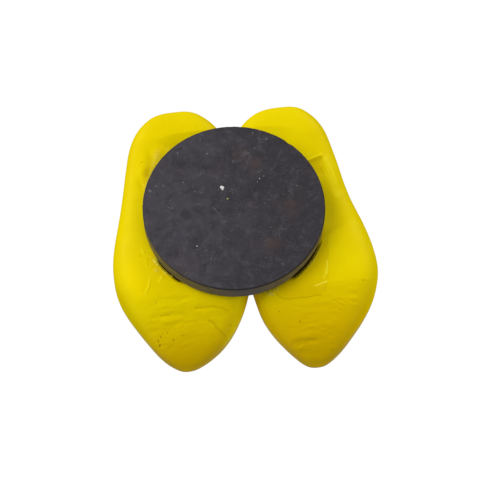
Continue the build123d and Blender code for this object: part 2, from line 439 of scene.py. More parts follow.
def clog_outer(clog):
    share = np.linspace(0, 1, OUTER_STATIONS + 2)[1:-1]
    from_heel = CLOG_LENGTH * (1 - np.cos(math.pi * share)) / 2
    inner, outer = cubic(clog.inner, share), cubic(clog.outer, share)
    sole, upper, widest = profiles(from_heel)
    cos, sin = circle(OUTER_POINTS)
    power = np.where(sin < 0, pchip(SOLE_SQUARENESS, from_heel)[:, None],
                     pchip(UPPER_SQUARENESS, from_heel)[:, None])
    if clog.side > 0:
        inner_power = pchip(INNER_SQUARENESS, from_heel)[:, None]
        power = np.where((sin < 0) & (cos < 0), inner_power, power)
    rings = cross_sections(
        clog, from_heel, (inner + outer) / 2, np.abs(outer - inner) / 2, widest,
        widest - sole, upper - widest, signed_power(cos, 2 / power), signed_power(sin, 2 / power),
    )
    heel = (clog.inner[0], SOLE_Y - WIDEST_LINE[0][1], clog.heel_z)
    toe = (clog.inner[-1], SOLE_Y - WIDEST_LINE[-1][1], clog.toe_z)
    return rings_mesh(clog.name + "_outer", heel, rings, toe)


def clog_hollow(clog):
    from_heel = np.concatenate([
        np.linspace(HOLLOW_HEEL + 0.02, 4.5, 16)[:-1],
        np.linspace(4.5, HOLLOW_TOE - HOLLOW_NOSE, 52)[:-1],
        HOLLOW_TOE - HOLLOW_NOSE * np.cos(np.linspace(0, math.pi / 2, 16)[1:-1]) ** 1.6,
    ])
    from_heel = np.unique(np.clip(from_heel, HOLLOW_HEEL + 0.02, HOLLOW_TOE - 0.03))
    end = np.where(from_heel < HOLLOW_WIDEST, HOLLOW_HEEL, HOLLOW_TOE)
    gone = np.abs((from_heel - HOLLOW_WIDEST) / (end - HOLLOW_WIDEST))
    opened = np.clip(1 - gone**HOLLOW_SQUARENESS, 0, 1) ** (1 / HOLLOW_SQUARENESS)
    inner, outer = clog.cut_sides(from_heel, WALL_SIDE)
    centre, half = (inner + outer) / 2, np.abs(outer - inner) / 2 * opened
    roof = pchip(UPPER_PROFILE, from_heel) - WALL_VAMP
    middle = FLOOR + 0.42 * (roof - FLOOR)
    cos, sin = circle(96)
    power = 2 / HOLLOW_SQUARENESS
    rings = cross_sections(
        clog, from_heel, centre, half, middle, (middle - FLOOR) * opened,
        (roof - middle) * opened, signed_power(cos, power), signed_power(sin, power),
    )
    heel, toe = (
        (centre[i], SOLE_Y - middle[i], float(clog.z_at(place)))
        for i, place in ((0, HOLLOW_HEEL), (-1, HOLLOW_TOE))
    )
    return rings_mesh(clog.name + "_hollow", heel, rings, toe)


def clog_mouth(clog):
    """An upright cutter that opens the hollow towards -Y."""
    angle = np.linspace(0, 2 * math.pi, 120, endpoint=False)
    power = 2 / MOUTH_SQUARENESS
    lengthways = signed_power(-np.cos(angle), power)
    end = np.where(lengthways > 0, MOUTH_TOE, HOLLOW_HEEL + MOUTH_STEP)
    from_heel = HOLLOW_WIDEST + np.abs(lengthways) * (end - HOLLOW_WIDEST)
    inner, outer = clog.cut_sides(from_heel, WALL_SIDE + MOUTH_STEP)
    half = np.abs(outer - inner) / 2
    x = (inner + outer) / 2 + half * signed_power(np.sin(angle), power)
    z = clog.z_at(from_heel)
    rings = [points_at(x, SOLE_Y - depth, z)
             for depth in np.linspace(MOUTH_DEEPEST, MOUTH_OUT, 24)]
    first, last = (
        (float(x.mean()), SOLE_Y - depth, float(z.mean())) for depth in (MOUTH_DEEPEST, MOUTH_OUT)
    )
    return rings_mesh(clog.name + "_mouth", first, rings, last)


def carved(clog, voxel):
    """The clog as an even fine mesh: outer form less hollow and opening, cut at the flat."""
    body, *tools = [add_object(mesh.name, mesh)
                    for mesh in (clog_outer(clog), clog_hollow(clog), clog_mouth(clog))]
    for tool in tools:
        cut = body.modifiers.new("cut", "BOOLEAN")
        cut.operation, cut.solver, cut.object = "DIFFERENCE", "EXACT", tool
    mesh = evaluated_mesh(body)
    drop_objects(body, *tools)
    with editing(mesh) as edit:
        cut = bmesh.ops.bisect_plane(
            edit, geom=edit.verts[:] + edit.edges[:] + edit.faces[:],
            plane_co=(clog.flat_x, 0, 0), plane_no=(clog.side, 0, 0), clear_inner=True,
        )
        edges = [part for part in cut["geom_cut"] if isinstance(part, bmesh.types.BMEdge)]
        bmesh.ops.holes_fill(edit, edges=edges, sides=0)
        bmesh.ops.recalc_face_normals(edit, faces=edit.faces)
    body = add_object(mesh.name, mesh)
    even = body.modifiers.new("even", "REMESH")
    even.mode, even.voxel_size, even.adaptivity = "VOXEL", voxel, 0.0
    even.use_smooth_shade = True
    fine = evaluated_mesh(body)
    drop_objects(body)
    return fine


# ------------------------------------------------------------------ hand-made surface of the soles
# Small pits, pressed into the mesh and darkened in the lacquer: (x, z, radius, strength)
PITS = {
    "left_clog": [
        (-8.35, -19.04, 0.12, 0.8), (-5.20, -17.25, 0.10, 0.8), (-19.43, -14.21, 0.10, 0.6),
        (-17.95, -15.85, 0.09, 0.3), (-9.12, -22.32, 0.11, 0.3), (-13.17, -23.24, 0.10, 0.35),
        (-10.42, -12.12, 0.09, 0.4), (-11.26, -16.77, 0.08, 0.35), (-14.9, -18.1, 0.07, 0.3),
    ],
    "right_clog": [
        (13.24, -17.86, 0.11, 0.75), (14.02, -17.99, 0.08, 0.45), (14.40, -18.26, 0.12, 0.8),
        (14.90, -18.67, 0.12, 0.95), (14.74, -19.20, 0.15, 0.95), (10.89, -18.50, 0.13, 0.5),
        (12.42, -18.94, 0.14, 0.6), (12.94, -19.58, 0.10, 0.4), (13.35, -19.75, 0.09, 0.35),
        (14.47, -13.60, 0.10, 0.5), (2.88, -17.59, 0.10, 0.8), (14.03, 12.33, 0.12, 0.6),
        (16.15, -5.35, 0.10, 0.7), (11.9, -17.6, 0.08, 0.3), (9.6, -16.9, 0.08, 0.3),
        (19.21, -13.82, 0.09, 0.5), (19.23, -14.2, 0.10, 0.7), (19.27, -14.56, 0.09, 0.5),
    ],
}
# Scratches beside the magnet, raised in the relief and bright in the lacquer: (x, z)
HEEL_SCRATCH = [(15.9, -4.2), (15.6, -4.5), (15.45, -5.2)]
LONG_CURL = [(15.1, -9.6), (15.18, -10.2), (15.4, -10.97), (16.2, -12.1)]
SHORT_CURL = [(13.0, -9.2), (13.15, -9.9), (13.66, -10.45)]
# Raised lip on the left sole beside the magnet
LIP = [(-13.4, 8.9), (-13.9, 9.1), (-14.5, 9.32), (-15.1, 9.55), (-15.7, 9.74), (-16.2, 9.8),
       (-16.7, 9.66)]
# Breaks in the surface that fall away on their toe side: heel steps and the lip
# (sign of the low side, drop, run, reach, fade at start, fade at end, points)
FALLS = {
    "left_clog": [
        (-1, 0.5, 1.7, 4.0, 0.05, 0.45,
         [(-2.4, 15.9), (-6.25, 16.04), (-9.66, 15.8), (-12.2, 15.1), (-14.5, 13.6)]),
        (-1, 0.38, 0.85, 2.2, 0.05, 0.2, LIP),
    ],
    "right_clog": [
        (1, 0.56, 1.6, 4.0, 0.04, 0.4,
         [(1.0, 16.75), (3.1, 16.72), (5.6, 16.66), (7.91, 16.56), (9.4, 16.4), (10.8, 15.9),
          (11.9, 14.9)]),
    ],
}
# Raised and sunk lines: (height, width, share faded at each end, points)
GROOVES = {
    "left_clog": [
        (0.1, 0.24, 0.1, LIP),
        # narrow ridge down the outer side of the arch
        (0.22, 0.5, 0.22, [(-16.3, 10.4), (-16.8, 9.0), (-17.25, 7.8), (-17.7, 6.3),
                           (-18.0, 4.9), (-18.2, 3.0)]),
        # ridges and hollows of the knife near the tip
        (-0.13, 0.38, 0.2, [(-6.4, -21.75), (-8.2, -21.7), (-9.4, -21.72), (-11.4, -21.85)]),
        (0.085, 0.36, 0.2, [(-6.6, -20.95), (-8.4, -20.95), (-10.4, -21.1)]),
        (0.085, 0.34, 0.2, [(-6.6, -22.35), (-8.2, -22.4), (-9.8, -22.6)]),
        (-0.04, 0.2, 0.2, [(-7.6, -22.0), (-8.6, -21.98), (-9.6, -21.94)]),
        (-0.05, 0.3, 0.2, [(-5.6, -19.6), (-7.4, -19.8), (-9.2, -19.7)]),
        (-0.04, 0.26, 0.2, [(-7.2, -18.75), (-9.0, -18.9), (-12.4, -18.6)]),
        (0.045, 0.4, 0.2, [(-6.4, -17.9), (-8.6, -18.2), (-10.4, -18.0)]),
        (-0.04, 0.36, 0.2, [(-9.0, -17.2), (-11.4, -17.5), (-13.8, -17.2)]),
        (0.035, 0.34, 0.2, [(-11.2, -19.6), (-13.0, -19.7), (-14.6, -19.4)]),
    ],
    "right_clog": [
        (0.05, 0.15, 0.15, HEEL_SCRATCH),
        (0.045, 0.15, 0.15, [(15.2, -6.0), (15.3, -6.9), (15.1, -7.6)]),
        (0.06, 0.14, 0.2, LONG_CURL),
        (0.06, 0.15, 0.15, SHORT_CURL),
        # long shallow waves across the toe
        (-0.07, 0.45, 0.25, [(15.2, -13.3), (12.6, -13.3), (10.2, -13.5), (8.2, -13.5)]),
        (0.06, 0.5, 0.25, [(15.6, -14.2), (12.6, -14.4), (9.2, -14.5)]),
        (-0.105, 0.36, 0.2, [(16.2, -15.6), (14.0, -15.6), (12.4, -15.55), (10.2, -15.8),
                             (8.8, -16.0)]),
        (0.07, 0.4, 0.25, [(14.6, -16.35), (12.0, -16.4), (9.6, -16.35)]),
        (-0.06, 0.28, 0.2, [(12.4, -16.95), (10.4, -17.0), (8.2, -16.9)]),
        (-0.07, 0.32, 0.25, [(17.6, -17.25), (15.8, -17.3), (14.2, -17.5)]),
        (-0.12, 0.22, 0.1, [(8.6, -15.15), (7.67, -15.12), (6.27, -15.16), (5.03, -15.23),
                            (3.81, -15.52), (3.07, -15.89), (2.2, -15.7)]),
        (0.06, 0.34, 0.2, [(7.2, -15.62), (5.4, -15.7), (4.2, -16.0)]),
        # curved dent on the inner side of the toe
        (-0.12, 0.24, 0.12, [(6.6, -16.6), (6.21, -17.03), (5.5, -17.61), (4.82, -18.37),
                             (3.81, -19.08), (3.1, -19.45)]),
    ],
}
# Swells and dips: (height, x, z, radius in x, radius in z, turn in degrees)
SPOTS = {
    "left_clog": [
        # dip on the toe side of the lip, swell on its heel side
        (-0.12, -14.9, 7.6, 1.2, 1.1, 24), (0.06, -16.1, 10.4, 0.5, 0.6),
        # the arch is deepest close to the ball
        (-0.3, -16.4, 0.2, 2.5, 3.4, 14), (-0.2, -15.3, 3.6, 1.9, 3.0),
        (-0.12, -16.5, -3.6, 1.5, 2.2, 18), (0.1, -18.4, -7.4, 3.0, 3.4),
    ],
    "right_clog": [
        # dips on the toe side of the heel step
        (-0.1, 9.4, 14.7, 1.7, 0.7, 12), (-0.1, 7.6, 14.2, 1.2, 0.7),
        # crumpled patch beside the magnet
        (0.1, 11.1, 13.5, 0.75, 1.0), (0.09, 13.7, 12.6, 0.75, 1.3, -10),
        (-0.09, 12.5, 12.9, 0.5, 1.1, -8), (0.1, 14.3, 10.6, 0.7, 0.9),
        (-0.12, 13.0, 9.7, 0.8, 1.0, -20), (-0.1, 14.7, 8.4, 0.5, 1.2, -14),
        # beside the curved dent
        (0.07, 4.2, -17.9, 1.0, 0.7, -35), (0.045, 5.6, -18.1, 0.5, 0.4),
    ] + [
        # small ovals between the toe's waves, each turned a little differently
        (height, x, z, 0.6, 0.3, 10 * math.sin(9 * x)) for height, x, z in (
            (0.045, 13.0, -16.6), (0.045, 11.4, -17.4), (0.055, 9.6, -17.3),
            (0.04, 8.6, -16.7), (0.055, 6.89, -16.25), (0.05, 5.7, -16.9),
            (-0.04, 12.2, -17.9), (-0.03, 10.6, -16.6), (-0.03, 7.8, -17.9))
    ],
}
# Slot under the magnet's edge: depth, then ranges over which it fades in from each end
# (degrees from +X towards +Z) and from each radius
SLOTS = {
    "left_clog": (0.45, (-157, -150), (-119, -127), (15.35, 15.05), (13.2, 14.2)),
    "right_clog": (0.3, (-50, -43), (-24, -29), (15.3, 15.04), (13.6, 14.4)),
}
# Diagonal rise that ends the left arch: the surface steps down on its heel side
ARCH_END = [(-13.4, -6.4), (-15.84, -5.05), (-18.0, -4.0), (-19.9, -2.7)]
LANE_HEIGHT = {"left_clog": 0.04, "right_clog": 0.052}


def knife_marks(clog, x, z):
    """Cross-grain marks on the toe's underside: short, fine and broken up."""
    flat = points_at(x, 0, z)
    bent_z = z + 0.8 * noise(flat / 4.5, 23)
    lane = points_at(x / 2.6 + 3 * clog.side, 0, (bent_z + 0.1 * x * clog.side) / 0.52)
    strength = 0.3 + 0.7 * step(-0.1, 0.5, noise(flat / 2.6, 57))
    marks = LANE_HEIGHT[clog.name] * noise(lane, 41 + clog.side) * strength
    short = points_at(x / 1.1, 0, (bent_z - 0.06 * x) / 0.4)
    marks = marks + 0.042 * noise(short, 77) * step(-0.2, 0.4, noise(flat / 1.9, 59))
    return marks + 0.04 * noise(points_at(x / 5.0, 0, bent_z / 1.4), 67)


def left_ball(clog, x, z):
    """End of the left arch, and the crisp break from the ball to the toe panel."""
    from_heel = clog.from_heel(z)
    across = clog.across(x, from_heel)
    relief = ledge(x, z, ARCH_END, drop=0.3, run=1.25, back=2.4, head=0.1, tail=0.45)
    sharp = np.maximum(0.012 * (from_heel - 32.2), 1.45 + 0.56 * (from_heel - 37.0))
    lengthways = step(31.8, 33.0, from_heel) * step(37.2, 36.4, from_heel)
    sideways = step(-0.62, -0.3, across) * step(0.98, 0.8, across)
    return relief + 0.5 * (pchip(SOLE_PROFILE, from_heel) - sharp) * lengthways * sideways


def sole_relief(clog, x, z):
    """Height in mm to add along +Y on a clog's sole."""
    from_heel = clog.from_heel(z)
    flat = points_at(x, 0, z)
    middle = step(0.0, 0.3, 1 - np.abs(clog.across(x, from_heel)))
    toe = step(33.5, 36.5, from_heel)
    relief = 0.05 * fbm(flat / 8.0, 11 + clog.side, 2) * middle
    relief = relief + 0.01 * fbm(flat / 1.6, 5, 2) * middle
    relief = relief + knife_marks(clog, x, z) * toe * middle
    for *shape, points in FALLS[clog.name]:
        relief = relief + fall(x, z, points, *shape)
    for height, width, fade, points in GROOVES[clog.name]:
        relief = relief + height * groove(x, z, points, width, fade)
    for height, *place in SPOTS[clog.name]:
        relief = relief + height * spot(x, z, *place)
    if clog.name == "left_clog":
        relief = relief + left_ball(clog, x, z)
    deep, start, end, outside, inside = SLOTS[clog.name]
    radius, angle = np.hypot(x, z), np.degrees(np.arctan2(z, x))
    relief = relief - (deep * step(*outside, radius) * step(*inside, radius)
                       * step(*start, angle) * step(*end, angle))
    for pit_x, pit_z, radius, strength in PITS[clog.name]:
        relief = relief - 0.1 * strength * spot(x, z, pit_x, pit_z, radius * 1.3)
    return relief


def refine_sole(mesh):
    """Halves the mesh's edges on the part of the sole that the magnet leaves open."""
    with editing(mesh) as edit:
        edges = set()
        for face in edit.faces:
            mid = face.calc_center_median()
            open_sole = SOLE_Y - mid.y < 8.8 and math.hypot(mid.x, mid.z) > 13.0
            if face.normal.y > 0.45 and open_sole:
                edges.update(face.edges)
        bmesh.ops.subdivide_edges(edit, edges=list(edges), cuts=1, use_grid_fill=True)
    mesh.update()


def dress_clog(clog, mesh):
    """Moves the fine mesh's vertices along their normals by the surface relief."""
    points, normals = coords(mesh), vertex_normals(mesh)
    x, y, z = points.T
    on_sole = step(0.25, 0.75, normals[:, 1]) * step(9.5, 7.5, SOLE_Y - y)
    flat = step(0.6, 0.15, np.abs(x - clog.flat_x))
    flat = flat * step(0.8, 0.98, -clog.side * normals[:, 0])
    move = on_sole * sole_relief(clog, x, z)
    # everywhere else: soft unevenness, and shallow facets along the sides and over the vamp
    rest = (1 - on_sole) * (1 - flat)
    soft = 0.045 * fbm(points / 7.0, 3 + clog.side, 2) + 0.005 * fbm(points / 1.1, 9, 2)
    facets = noise(points_at(x / 3.5, y / 3.5, z / 1.6), 87)
    move = move + rest * soft + rest * 0.014 * facets
    set_coords(mesh, points + normals * (move * (1 - flat))[:, None])


def inside_shoe(clog, points, normals):
    """0 on the outside and over the rim, 1 well inside the shoe."""
    x = points[:, 0]
    from_heel = clog.from_heel(points[:, 2])
    inner, outer = clog.sides(from_heel)
    sole, upper, widest = profiles(from_heel)
    depth = SOLE_Y - points[:, 1]
    under = depth < widest
    power = np.where(under, pchip(SOLE_SQUARENESS, from_heel), pchip(UPPER_SQUARENESS, from_heel))
    reach = np.maximum(np.where(under, widest - sole, upper - widest), 0.05)
    sideways = np.abs(2 * x - inner - outer) / np.maximum(np.abs(outer - inner), 0.1)
    # 1 on the outer form, less within it
    form = (sideways**power + (np.abs(depth - widest) / reach) ** power) ** (1 / power)
    inside = step(0.93, 0.8, form) * step(0.5, 1.2, np.abs(x - clog.flat_x))
    inside = inside * step(1.2, 2.4, from_heel) * step(38, 36, from_heel)
    return inside * (1 - step(0.0, 0.3, normals[:, 1]) * step(FLOOR, FLOOR - 0.5, depth))


def clog_piece(clog, material):
    """Builds a clog and returns a ray-casting tree of it in millimetres."""
    mesh = carved(clog, voxel=0.205)
    relax(mesh, 6)
    refine_sole(mesh)
    relax(mesh, 3)
    mesh.update()
    dress_clog(clog, mesh)
    relax(mesh, 1, amount=0.3)
    points = coords(mesh)
    add_attribute(mesh, "inside", inside_shoe(clog, points, vertex_normals(mesh)))
    faces = [tuple(face.vertices) for face in mesh.polygons]
    tree = BVHTree.FromPolygons([Vector(point) for point in points], faces)
    finish_piece(clog.name + "_wood", mesh, material, clog.name)
    return tree


# ------------------------------------------------------------------ material helpers
class Shader:
    """A material's node graph; inputs are sockets or values, and colours are (r, g, b)."""

    def __init__(self, name):
        self.material = bpy.data.materials.new(name)
        self.material.use_nodes = True
        self.tree = self.material.node_tree
        self.tree.nodes.clear()
        self.out = self.node("ShaderNodeOutputMaterial")

    def node(self, kind, **values):
        made = self.tree.nodes.new(kind)
        for key, value in values.items():
            setattr(made, key, value)
        return made

    def put(self, socket, value):
        if isinstance(value, bpy.types.NodeSocket):
            self.tree.links.new(value, socket)
        elif isinstance(value, tuple) and socket.type == "RGBA":
            socket.default_value = (*value, 1.0)
        else:
            socket.default_value = value

    def filled(self, kind, **inputs):
        """A node with its inputs set by name, with _ for each space."""
        made = self.node(kind)
        for key, value in inputs.items():
            self.put(made.inputs[key.replace("_", " ")], value)
        return made

    def position(self, scale=1000.0):
        """Object-space position, in millimetres unless scaled otherwise."""
        place = self.node("ShaderNodeTexCoord").outputs["Object"]
        return self.vmath("MULTIPLY", place, (scale, scale, scale))

    def vmath(self, operation, first, second):
        made = self.node("ShaderNodeVectorMath", operation=operation)
        self.put(made.inputs[0], first)
        self.put(made.inputs["Scale" if operation == "SCALE" else 1], second)
        scalar = operation in ("LENGTH", "DOT_PRODUCT", "DISTANCE")
        return made.outputs["Value" if scalar else "Vector"]

    def length(self, vector):
        made = self.node("ShaderNodeVectorMath", operation="LENGTH")
        self.put(made.inputs[0], vector)
        return made.outputs["Value"]

    def stretched(self, vector, x, y, z):
        return self.vmath("MULTIPLY", vector, (x, y, z))

    def math(self, operation, first, second=0.0, clamp=False):
        made = self.node("ShaderNodeMath", operation=operation, use_clamp=clamp)
        self.put(made.inputs[0], first)
        self.put(made.inputs[1], second)
        return made.outputs[0]

    def times(self, first, second):
        return self.math("MULTIPLY", first, second)

    def add(self, first, second):
        return self.math("ADD", first, second)

    def fold(self, operation, values):
        """MINIMUM or MAXIMUM of a list."""
        return reduce(lambda first, second: self.math(operation, first, second), values)

    def xyz(self, vector):
        return self.filled("ShaderNodeSeparateXYZ", Vector=vector).outputs

    def noise(self, vector, scale, detail=2.0, rough=0.5, distortion=0.0):
        return self.filled("ShaderNodeTexNoise", Vector=vector, Scale=scale, Detail=detail,
                           Roughness=rough, Distortion=distortion).outputs["Fac"]

    def voronoi(self, vector, scale, out="Distance"):
        return self.filled("ShaderNodeTexVoronoi", Vector=vector, Scale=scale).outputs[out]

    def attribute(self, name):
        return self.node("ShaderNodeAttribute", attribute_name=name).outputs["Fac"]

    def ramp(self, value, over, to=(0.0, 1.0), smooth=True):
        """Maps the range over on to the range to."""
        made = self.node("ShaderNodeMapRange",
                         interpolation_type="SMOOTHSTEP" if smooth else "LINEAR")
        self.put(made.inputs["Value"], value)
        names = ("From Min", "From Max", "To Min", "To Max")
        for key, number in zip(names, (*over, *to)):
            made.inputs[key].default_value = number
        return made.outputs["Result"]

    def mix(self, share, first, second):
        made = self.node("ShaderNodeMix", data_type="RGBA")
        for i, value in ((0, share), (6, first), (7, second)):
            self.put(made.inputs[i], value)
        return made.outputs[2]

    def mix_shader(self, share, first, second):
        made = self.node("ShaderNodeMixShader")
        for i, value in enumerate((share, first, second)):
            self.put(made.inputs[i], value)
        return made.outputs[0]

    def bump(self, height, strength, distance, **normal):
        return self.filled("ShaderNodeBump", Strength=strength, Distance=distance,
                           Height=height, **normal).outputs["Normal"]

    def near(self, pos, x, z, full, end):
        """1 within the radius full of a point on the sole or disc, falling to 0 at end."""
        distance = self.vmath("DISTANCE", self.stretched(pos, 1.0, 0.0, 1.0), (x, 0.0, z))
        return self.ramp(distance, over=(full, end), to=(1.0, 0.0))

    def line(self, flat, points, width, amount):
        """A soft-edged line along a polyline in the plane of the sole, as 0..amount."""
        distances = []
        for (start_x, start_z), (end_x, end_z) in zip(points, points[1:]):
            length = math.dist((start_x, start_z), (end_x, end_z))
            way = ((end_x - start_x) / length, 0.0, (end_z - start_z) / length)
            off = self.vmath("SUBTRACT", flat, (start_x, 0.0, start_z))
            gone = self.math("MAXIMUM", self.vmath("DOT_PRODUCT", off, way), 0.0)
            gone = self.math("MINIMUM", gone, length)
            distances.append(self.vmath("DISTANCE", off, self.vmath("SCALE", way, gone)))
        nearest = self.fold("MINIMUM", distances)
        return self.ramp(nearest, over=(width * 0.25, width), to=(amount, 0.0))

    def principled(self, **inputs):
        return self.filled("ShaderNodeBsdfPrincipled", **inputs).outputs[0]

    def done(self, surface):
        self.put(self.out.inputs["Surface"], surface)
        return self.material


# ------------------------------------------------------------------ lacquer
LACQUER = (0.80, 0.618, 0.0004)
# deeper yellow, for streaks and for painted shade towards the toe
LACQUER_DEEP_AND_SHADE = (0.75, 0.505, 0.0002)
LACQUER_LIGHT = (0.83, 0.660, 0.0008)
# painted shade at the toe tip
LACQUER_TIP_SHADE = (0.570, 0.372, 0.0002)
# darker olive, for a patch and for painted shade in a dip
LACQUER_DARK_PATCH = (0.52, 0.36, 0.0005)
SCRATCH_YELLOW = (0.90, 0.78, 0.02)
# Dark lines on the soles, painted shade along grooves, under the lip and where the glue film ends:
# (width, amount, points)
DARK_LINES = [
    # painted shade along the grooves and under the lip
    (0.22, 0.22, [(8.2, -15.08), (6.27, -15.1), (5.03, -15.17), (3.81, -15.46), (3.07, -15.83)]),
    (0.24, 0.26, [(6.3, -16.95), (5.5, -17.55), (4.82, -18.31), (3.81, -19.02), (3.2, -19.35)]),
    (0.16, 0.24, [(14.1, -15.5), (12.5, -15.48)]),
    (0.34, 0.12, [(-6.6, -21.52), (-8.3, -21.45), (-9.1, -21.5), (-11.0, -21.6)]),
    (0.14, 0.25, [(-7.6, -21.92), (-9.5, -21.88)]),
    (0.42, 0.2, [(-13.9, 8.72), (-15.1, 9.12), (-16.0, 9.32), (-16.5, 9.25)]),
    # painted shade where the clear film of glue ends
    (0.15, 0.38, [(-4.92, -14.35), (-5.35, -14.99), (-6.03, -15.52), (-7.0, -15.76),
                  (-7.75, -15.77), (-9.01, -15.73), (-9.51, -15.84), (-10.65, -15.81),
                  (-11.54, -15.62), (-12.16, -15.79)]),
    (0.14, 0.18, [(-14.8, -5.8), (-14.72, -6.6), (-14.6, -8.0), (-14.3, -9.3), (-14.0, -10.2)]),
    (0.13, 0.18, [(-13.25, -14.2), (-13.12, -14.8), (-12.95, -15.3)]),
]
# Bright lines on the soles, painted highlights, a glue line and bright scratches: (width, amount,
# colour, points)
BRIGHT_LINES = [
    # painted highlight along the lip's ridge
    (0.17, 0.5, (0.93, 0.78, 0.01),
     [(-13.5, 9.12), (-13.95, 9.3), (-15.1, 9.72), (-15.9, 9.98), (-16.2, 10.3)]),
    # painted highlight down the rounded outer side of the arch
    (0.9, 0.46, (0.91, 0.77, 0.014),
     [(-17.0, 9.0), (-17.34, 7.4), (-17.44, 5.7), (-17.6, 4.0), (-17.8, 2.4)]),
    # painted light on the inner side of the right toe, where the other toe lights it
    (1.3, 0.85, (0.90, 0.735, 0.001),
     [(0.7, -13.4), (0.9, -15.0), (1.4, -16.6), (2.3, -18.6), (3.5, -20.2)]),
    (0.15, 0.62, (0.60, 0.48, 0.09),
     [(-13.62, -6.75), (-12.9, -8.34), (-11.92, -9.75), (-10.8, -10.92), (-9.56, -11.84),
      (-8.5, -12.5)]),
    (0.12, 0.45, SCRATCH_YELLOW, LONG_CURL),
    (0.13, 0.5, SCRATCH_YELLOW, SHORT_CURL),
    (0.13, 0.5, SCRATCH_YELLOW, HEEL_SCRATCH),
    # painted glints on the clear film of glue
    (0.22, 0.8, (0.95, 0.83, 0.05), [(-14.05, -10.2), (-13.88, -11.4), (-13.6, -12.5)]),
    (0.34, 0.5, (0.93, 0.80, 0.02), [(-13.8, -11.4), (-13.45, -12.4), (-13.0, -13.2)]),
    (0.13, 0.95, (0.97, 0.86, 0.08), [(-11.5, -14.3), (-12.6, -14.05), (-13.45, -13.85)]),
]
# Painted shade in the gaps under the magnet's edge: degrees from +X towards +Z, and their outer
# radius
SHADED_GAPS = [(-156, -117), (-51, -21)]
SHADE_REACH, SHADE_BLUR = 15.0, 0.06


def lacquer_coat(mat, pos):
    """Cloudy yellow with painted shade that turns it darker and warmer towards the toe."""
    x, y, z = mat.xyz(pos)
    cloud = mat.noise(pos, scale=0.16, detail=3.0, rough=0.55)
    colour = mat.mix(mat.ramp(cloud, over=(0.35, 0.7)), LACQUER, LACQUER_LIGHT)
    # painted shade: darker and warmer towards the toe, and darker still at the tip
    shifted = mat.add(z, mat.ramp(x, over=(-1.0, 1.0), to=(0.0, 1.6)))
    colour = mat.mix(mat.ramp(shifted, over=(-12.0, -21.0)), colour, LACQUER_DEEP_AND_SHADE)
    shifted = mat.add(z, mat.ramp(x, over=(-1.0, 1.0), to=(1.6, 0.0)))
    tip = mat.times(mat.ramp(shifted, over=(-17.5, -23.5)), mat.ramp(y, over=(-13.5, -11.5)))
    colour = mat.mix(tip, colour, LACQUER_TIP_SHADE)
    streak = mat.noise(mat.stretched(pos, 0.35, 0.5, 2.2), scale=0.7, detail=3.0, rough=0.6)
    return mat.mix(mat.ramp(streak, over=(0.52, 0.78), to=(0.0, 0.1)), colour, LACQUER_DEEP_AND_SHADE)


def sole_marks(mat, pos, colour):
    """Pits, scratches and a darker patch, with painted shade in grooves, at film edges, in a dip
    and under the magnet's edge, and painted highlights and glints.
    """
    x, y, z = mat.xyz(pos)
    sole_side = mat.ramp(y, over=(-13.5, -12.5))
    for pits in PITS.values():
        for pit_x, pit_z, radius, strength in pits:
            near = mat.near(pos, pit_x, pit_z, full=radius * 0.25, end=radius * 1.5)
            pit = mat.times(near, mat.times(sole_side, 0.85 * strength))
            colour = mat.mix(pit, colour, (0.17, 0.085, 0.004))
    flat = mat.stretched(pos, 1.0, 0.0, 1.0)
    # painted shade along grooves, under the lip and at the film's edges
    for width, amount, points in DARK_LINES:
        mark = mat.times(mat.line(flat, points, width, amount), sole_side)
        colour = mat.mix(mark, colour, (0.36, 0.225, 0.0005))
    # a darker cloudy patch on the crumpled patch, and painted shade in the dip beside the lip:
    # place, full and outer radius, scale and ramp of the noise
    for *place, scale, over, to in (
        (12.95, 10.4, 0.3, 1.6, 0.9, (0.3, 0.62), (0.2, 0.55)),
        (-15.4, 8.1, 0.4, 2.3, 0.8, (0.25, 0.65), (0.12, 0.28)),
    ):
        cloud = mat.ramp(mat.noise(pos, scale=scale), over=over, to=to)
        dark_patch = mat.times(mat.near(pos, *place), cloud)
        colour = mat.mix(mat.times(dark_patch, sole_side), colour, LACQUER_DARK_PATCH)
    # painted highlights and glints, a glue line and bright scratches
    for width, amount, tone, points in BRIGHT_LINES:
        mark = mat.times(mat.line(flat, points, width, amount), sole_side)
        colour = mat.mix(mark, colour, tone)
    # painted shade in the gaps under the magnet's edge
    radius = mat.length(flat)
    angle = mat.math("ARCTAN2", z, x)
    gap_shades = []
    for start, end in SHADED_GAPS:
        middle, half = math.radians((start + end) / 2), math.radians((end - start) / 2)
        off = mat.math("ABSOLUTE", mat.math("SUBTRACT", angle, middle))
        within = mat.ramp(radius, over=(SHADE_REACH + SHADE_BLUR, SHADE_REACH - SHADE_BLUR))
        gap_shades.append(mat.times(mat.ramp(off, over=(half, 0.6 * half)), within))
    gap = mat.times(mat.fold("MAXIMUM", gap_shades), mat.ramp(y, over=(-4.9, -4.5)))
    return mat.mix(gap, colour, (0.034, 0.018, 0.001))


def bare_wood(mat, pos):
    """Colour of wood with its grain along Z, and the pores."""
    along_grain = mat.stretched(pos, 1.0, 1.0, 0.06)
    rings = mat.noise(along_grain, scale=1.7, detail=4.0, rough=0.55, distortion=0.25)
    wood = mat.mix(mat.ramp(rings, over=(0.34, 0.62)), (0.44, 0.285, 0.145), (0.62, 0.44, 0.255))
    pores = mat.noise(mat.stretched(pos, 6.0, 6.0, 0.45), scale=1.6, rough=0.6)
    dark = mat.ramp(pores, over=(0.6, 0.74), to=(0.0, 0.35))
    return mat.mix(dark, wood, (0.27, 0.16, 0.075)), pores


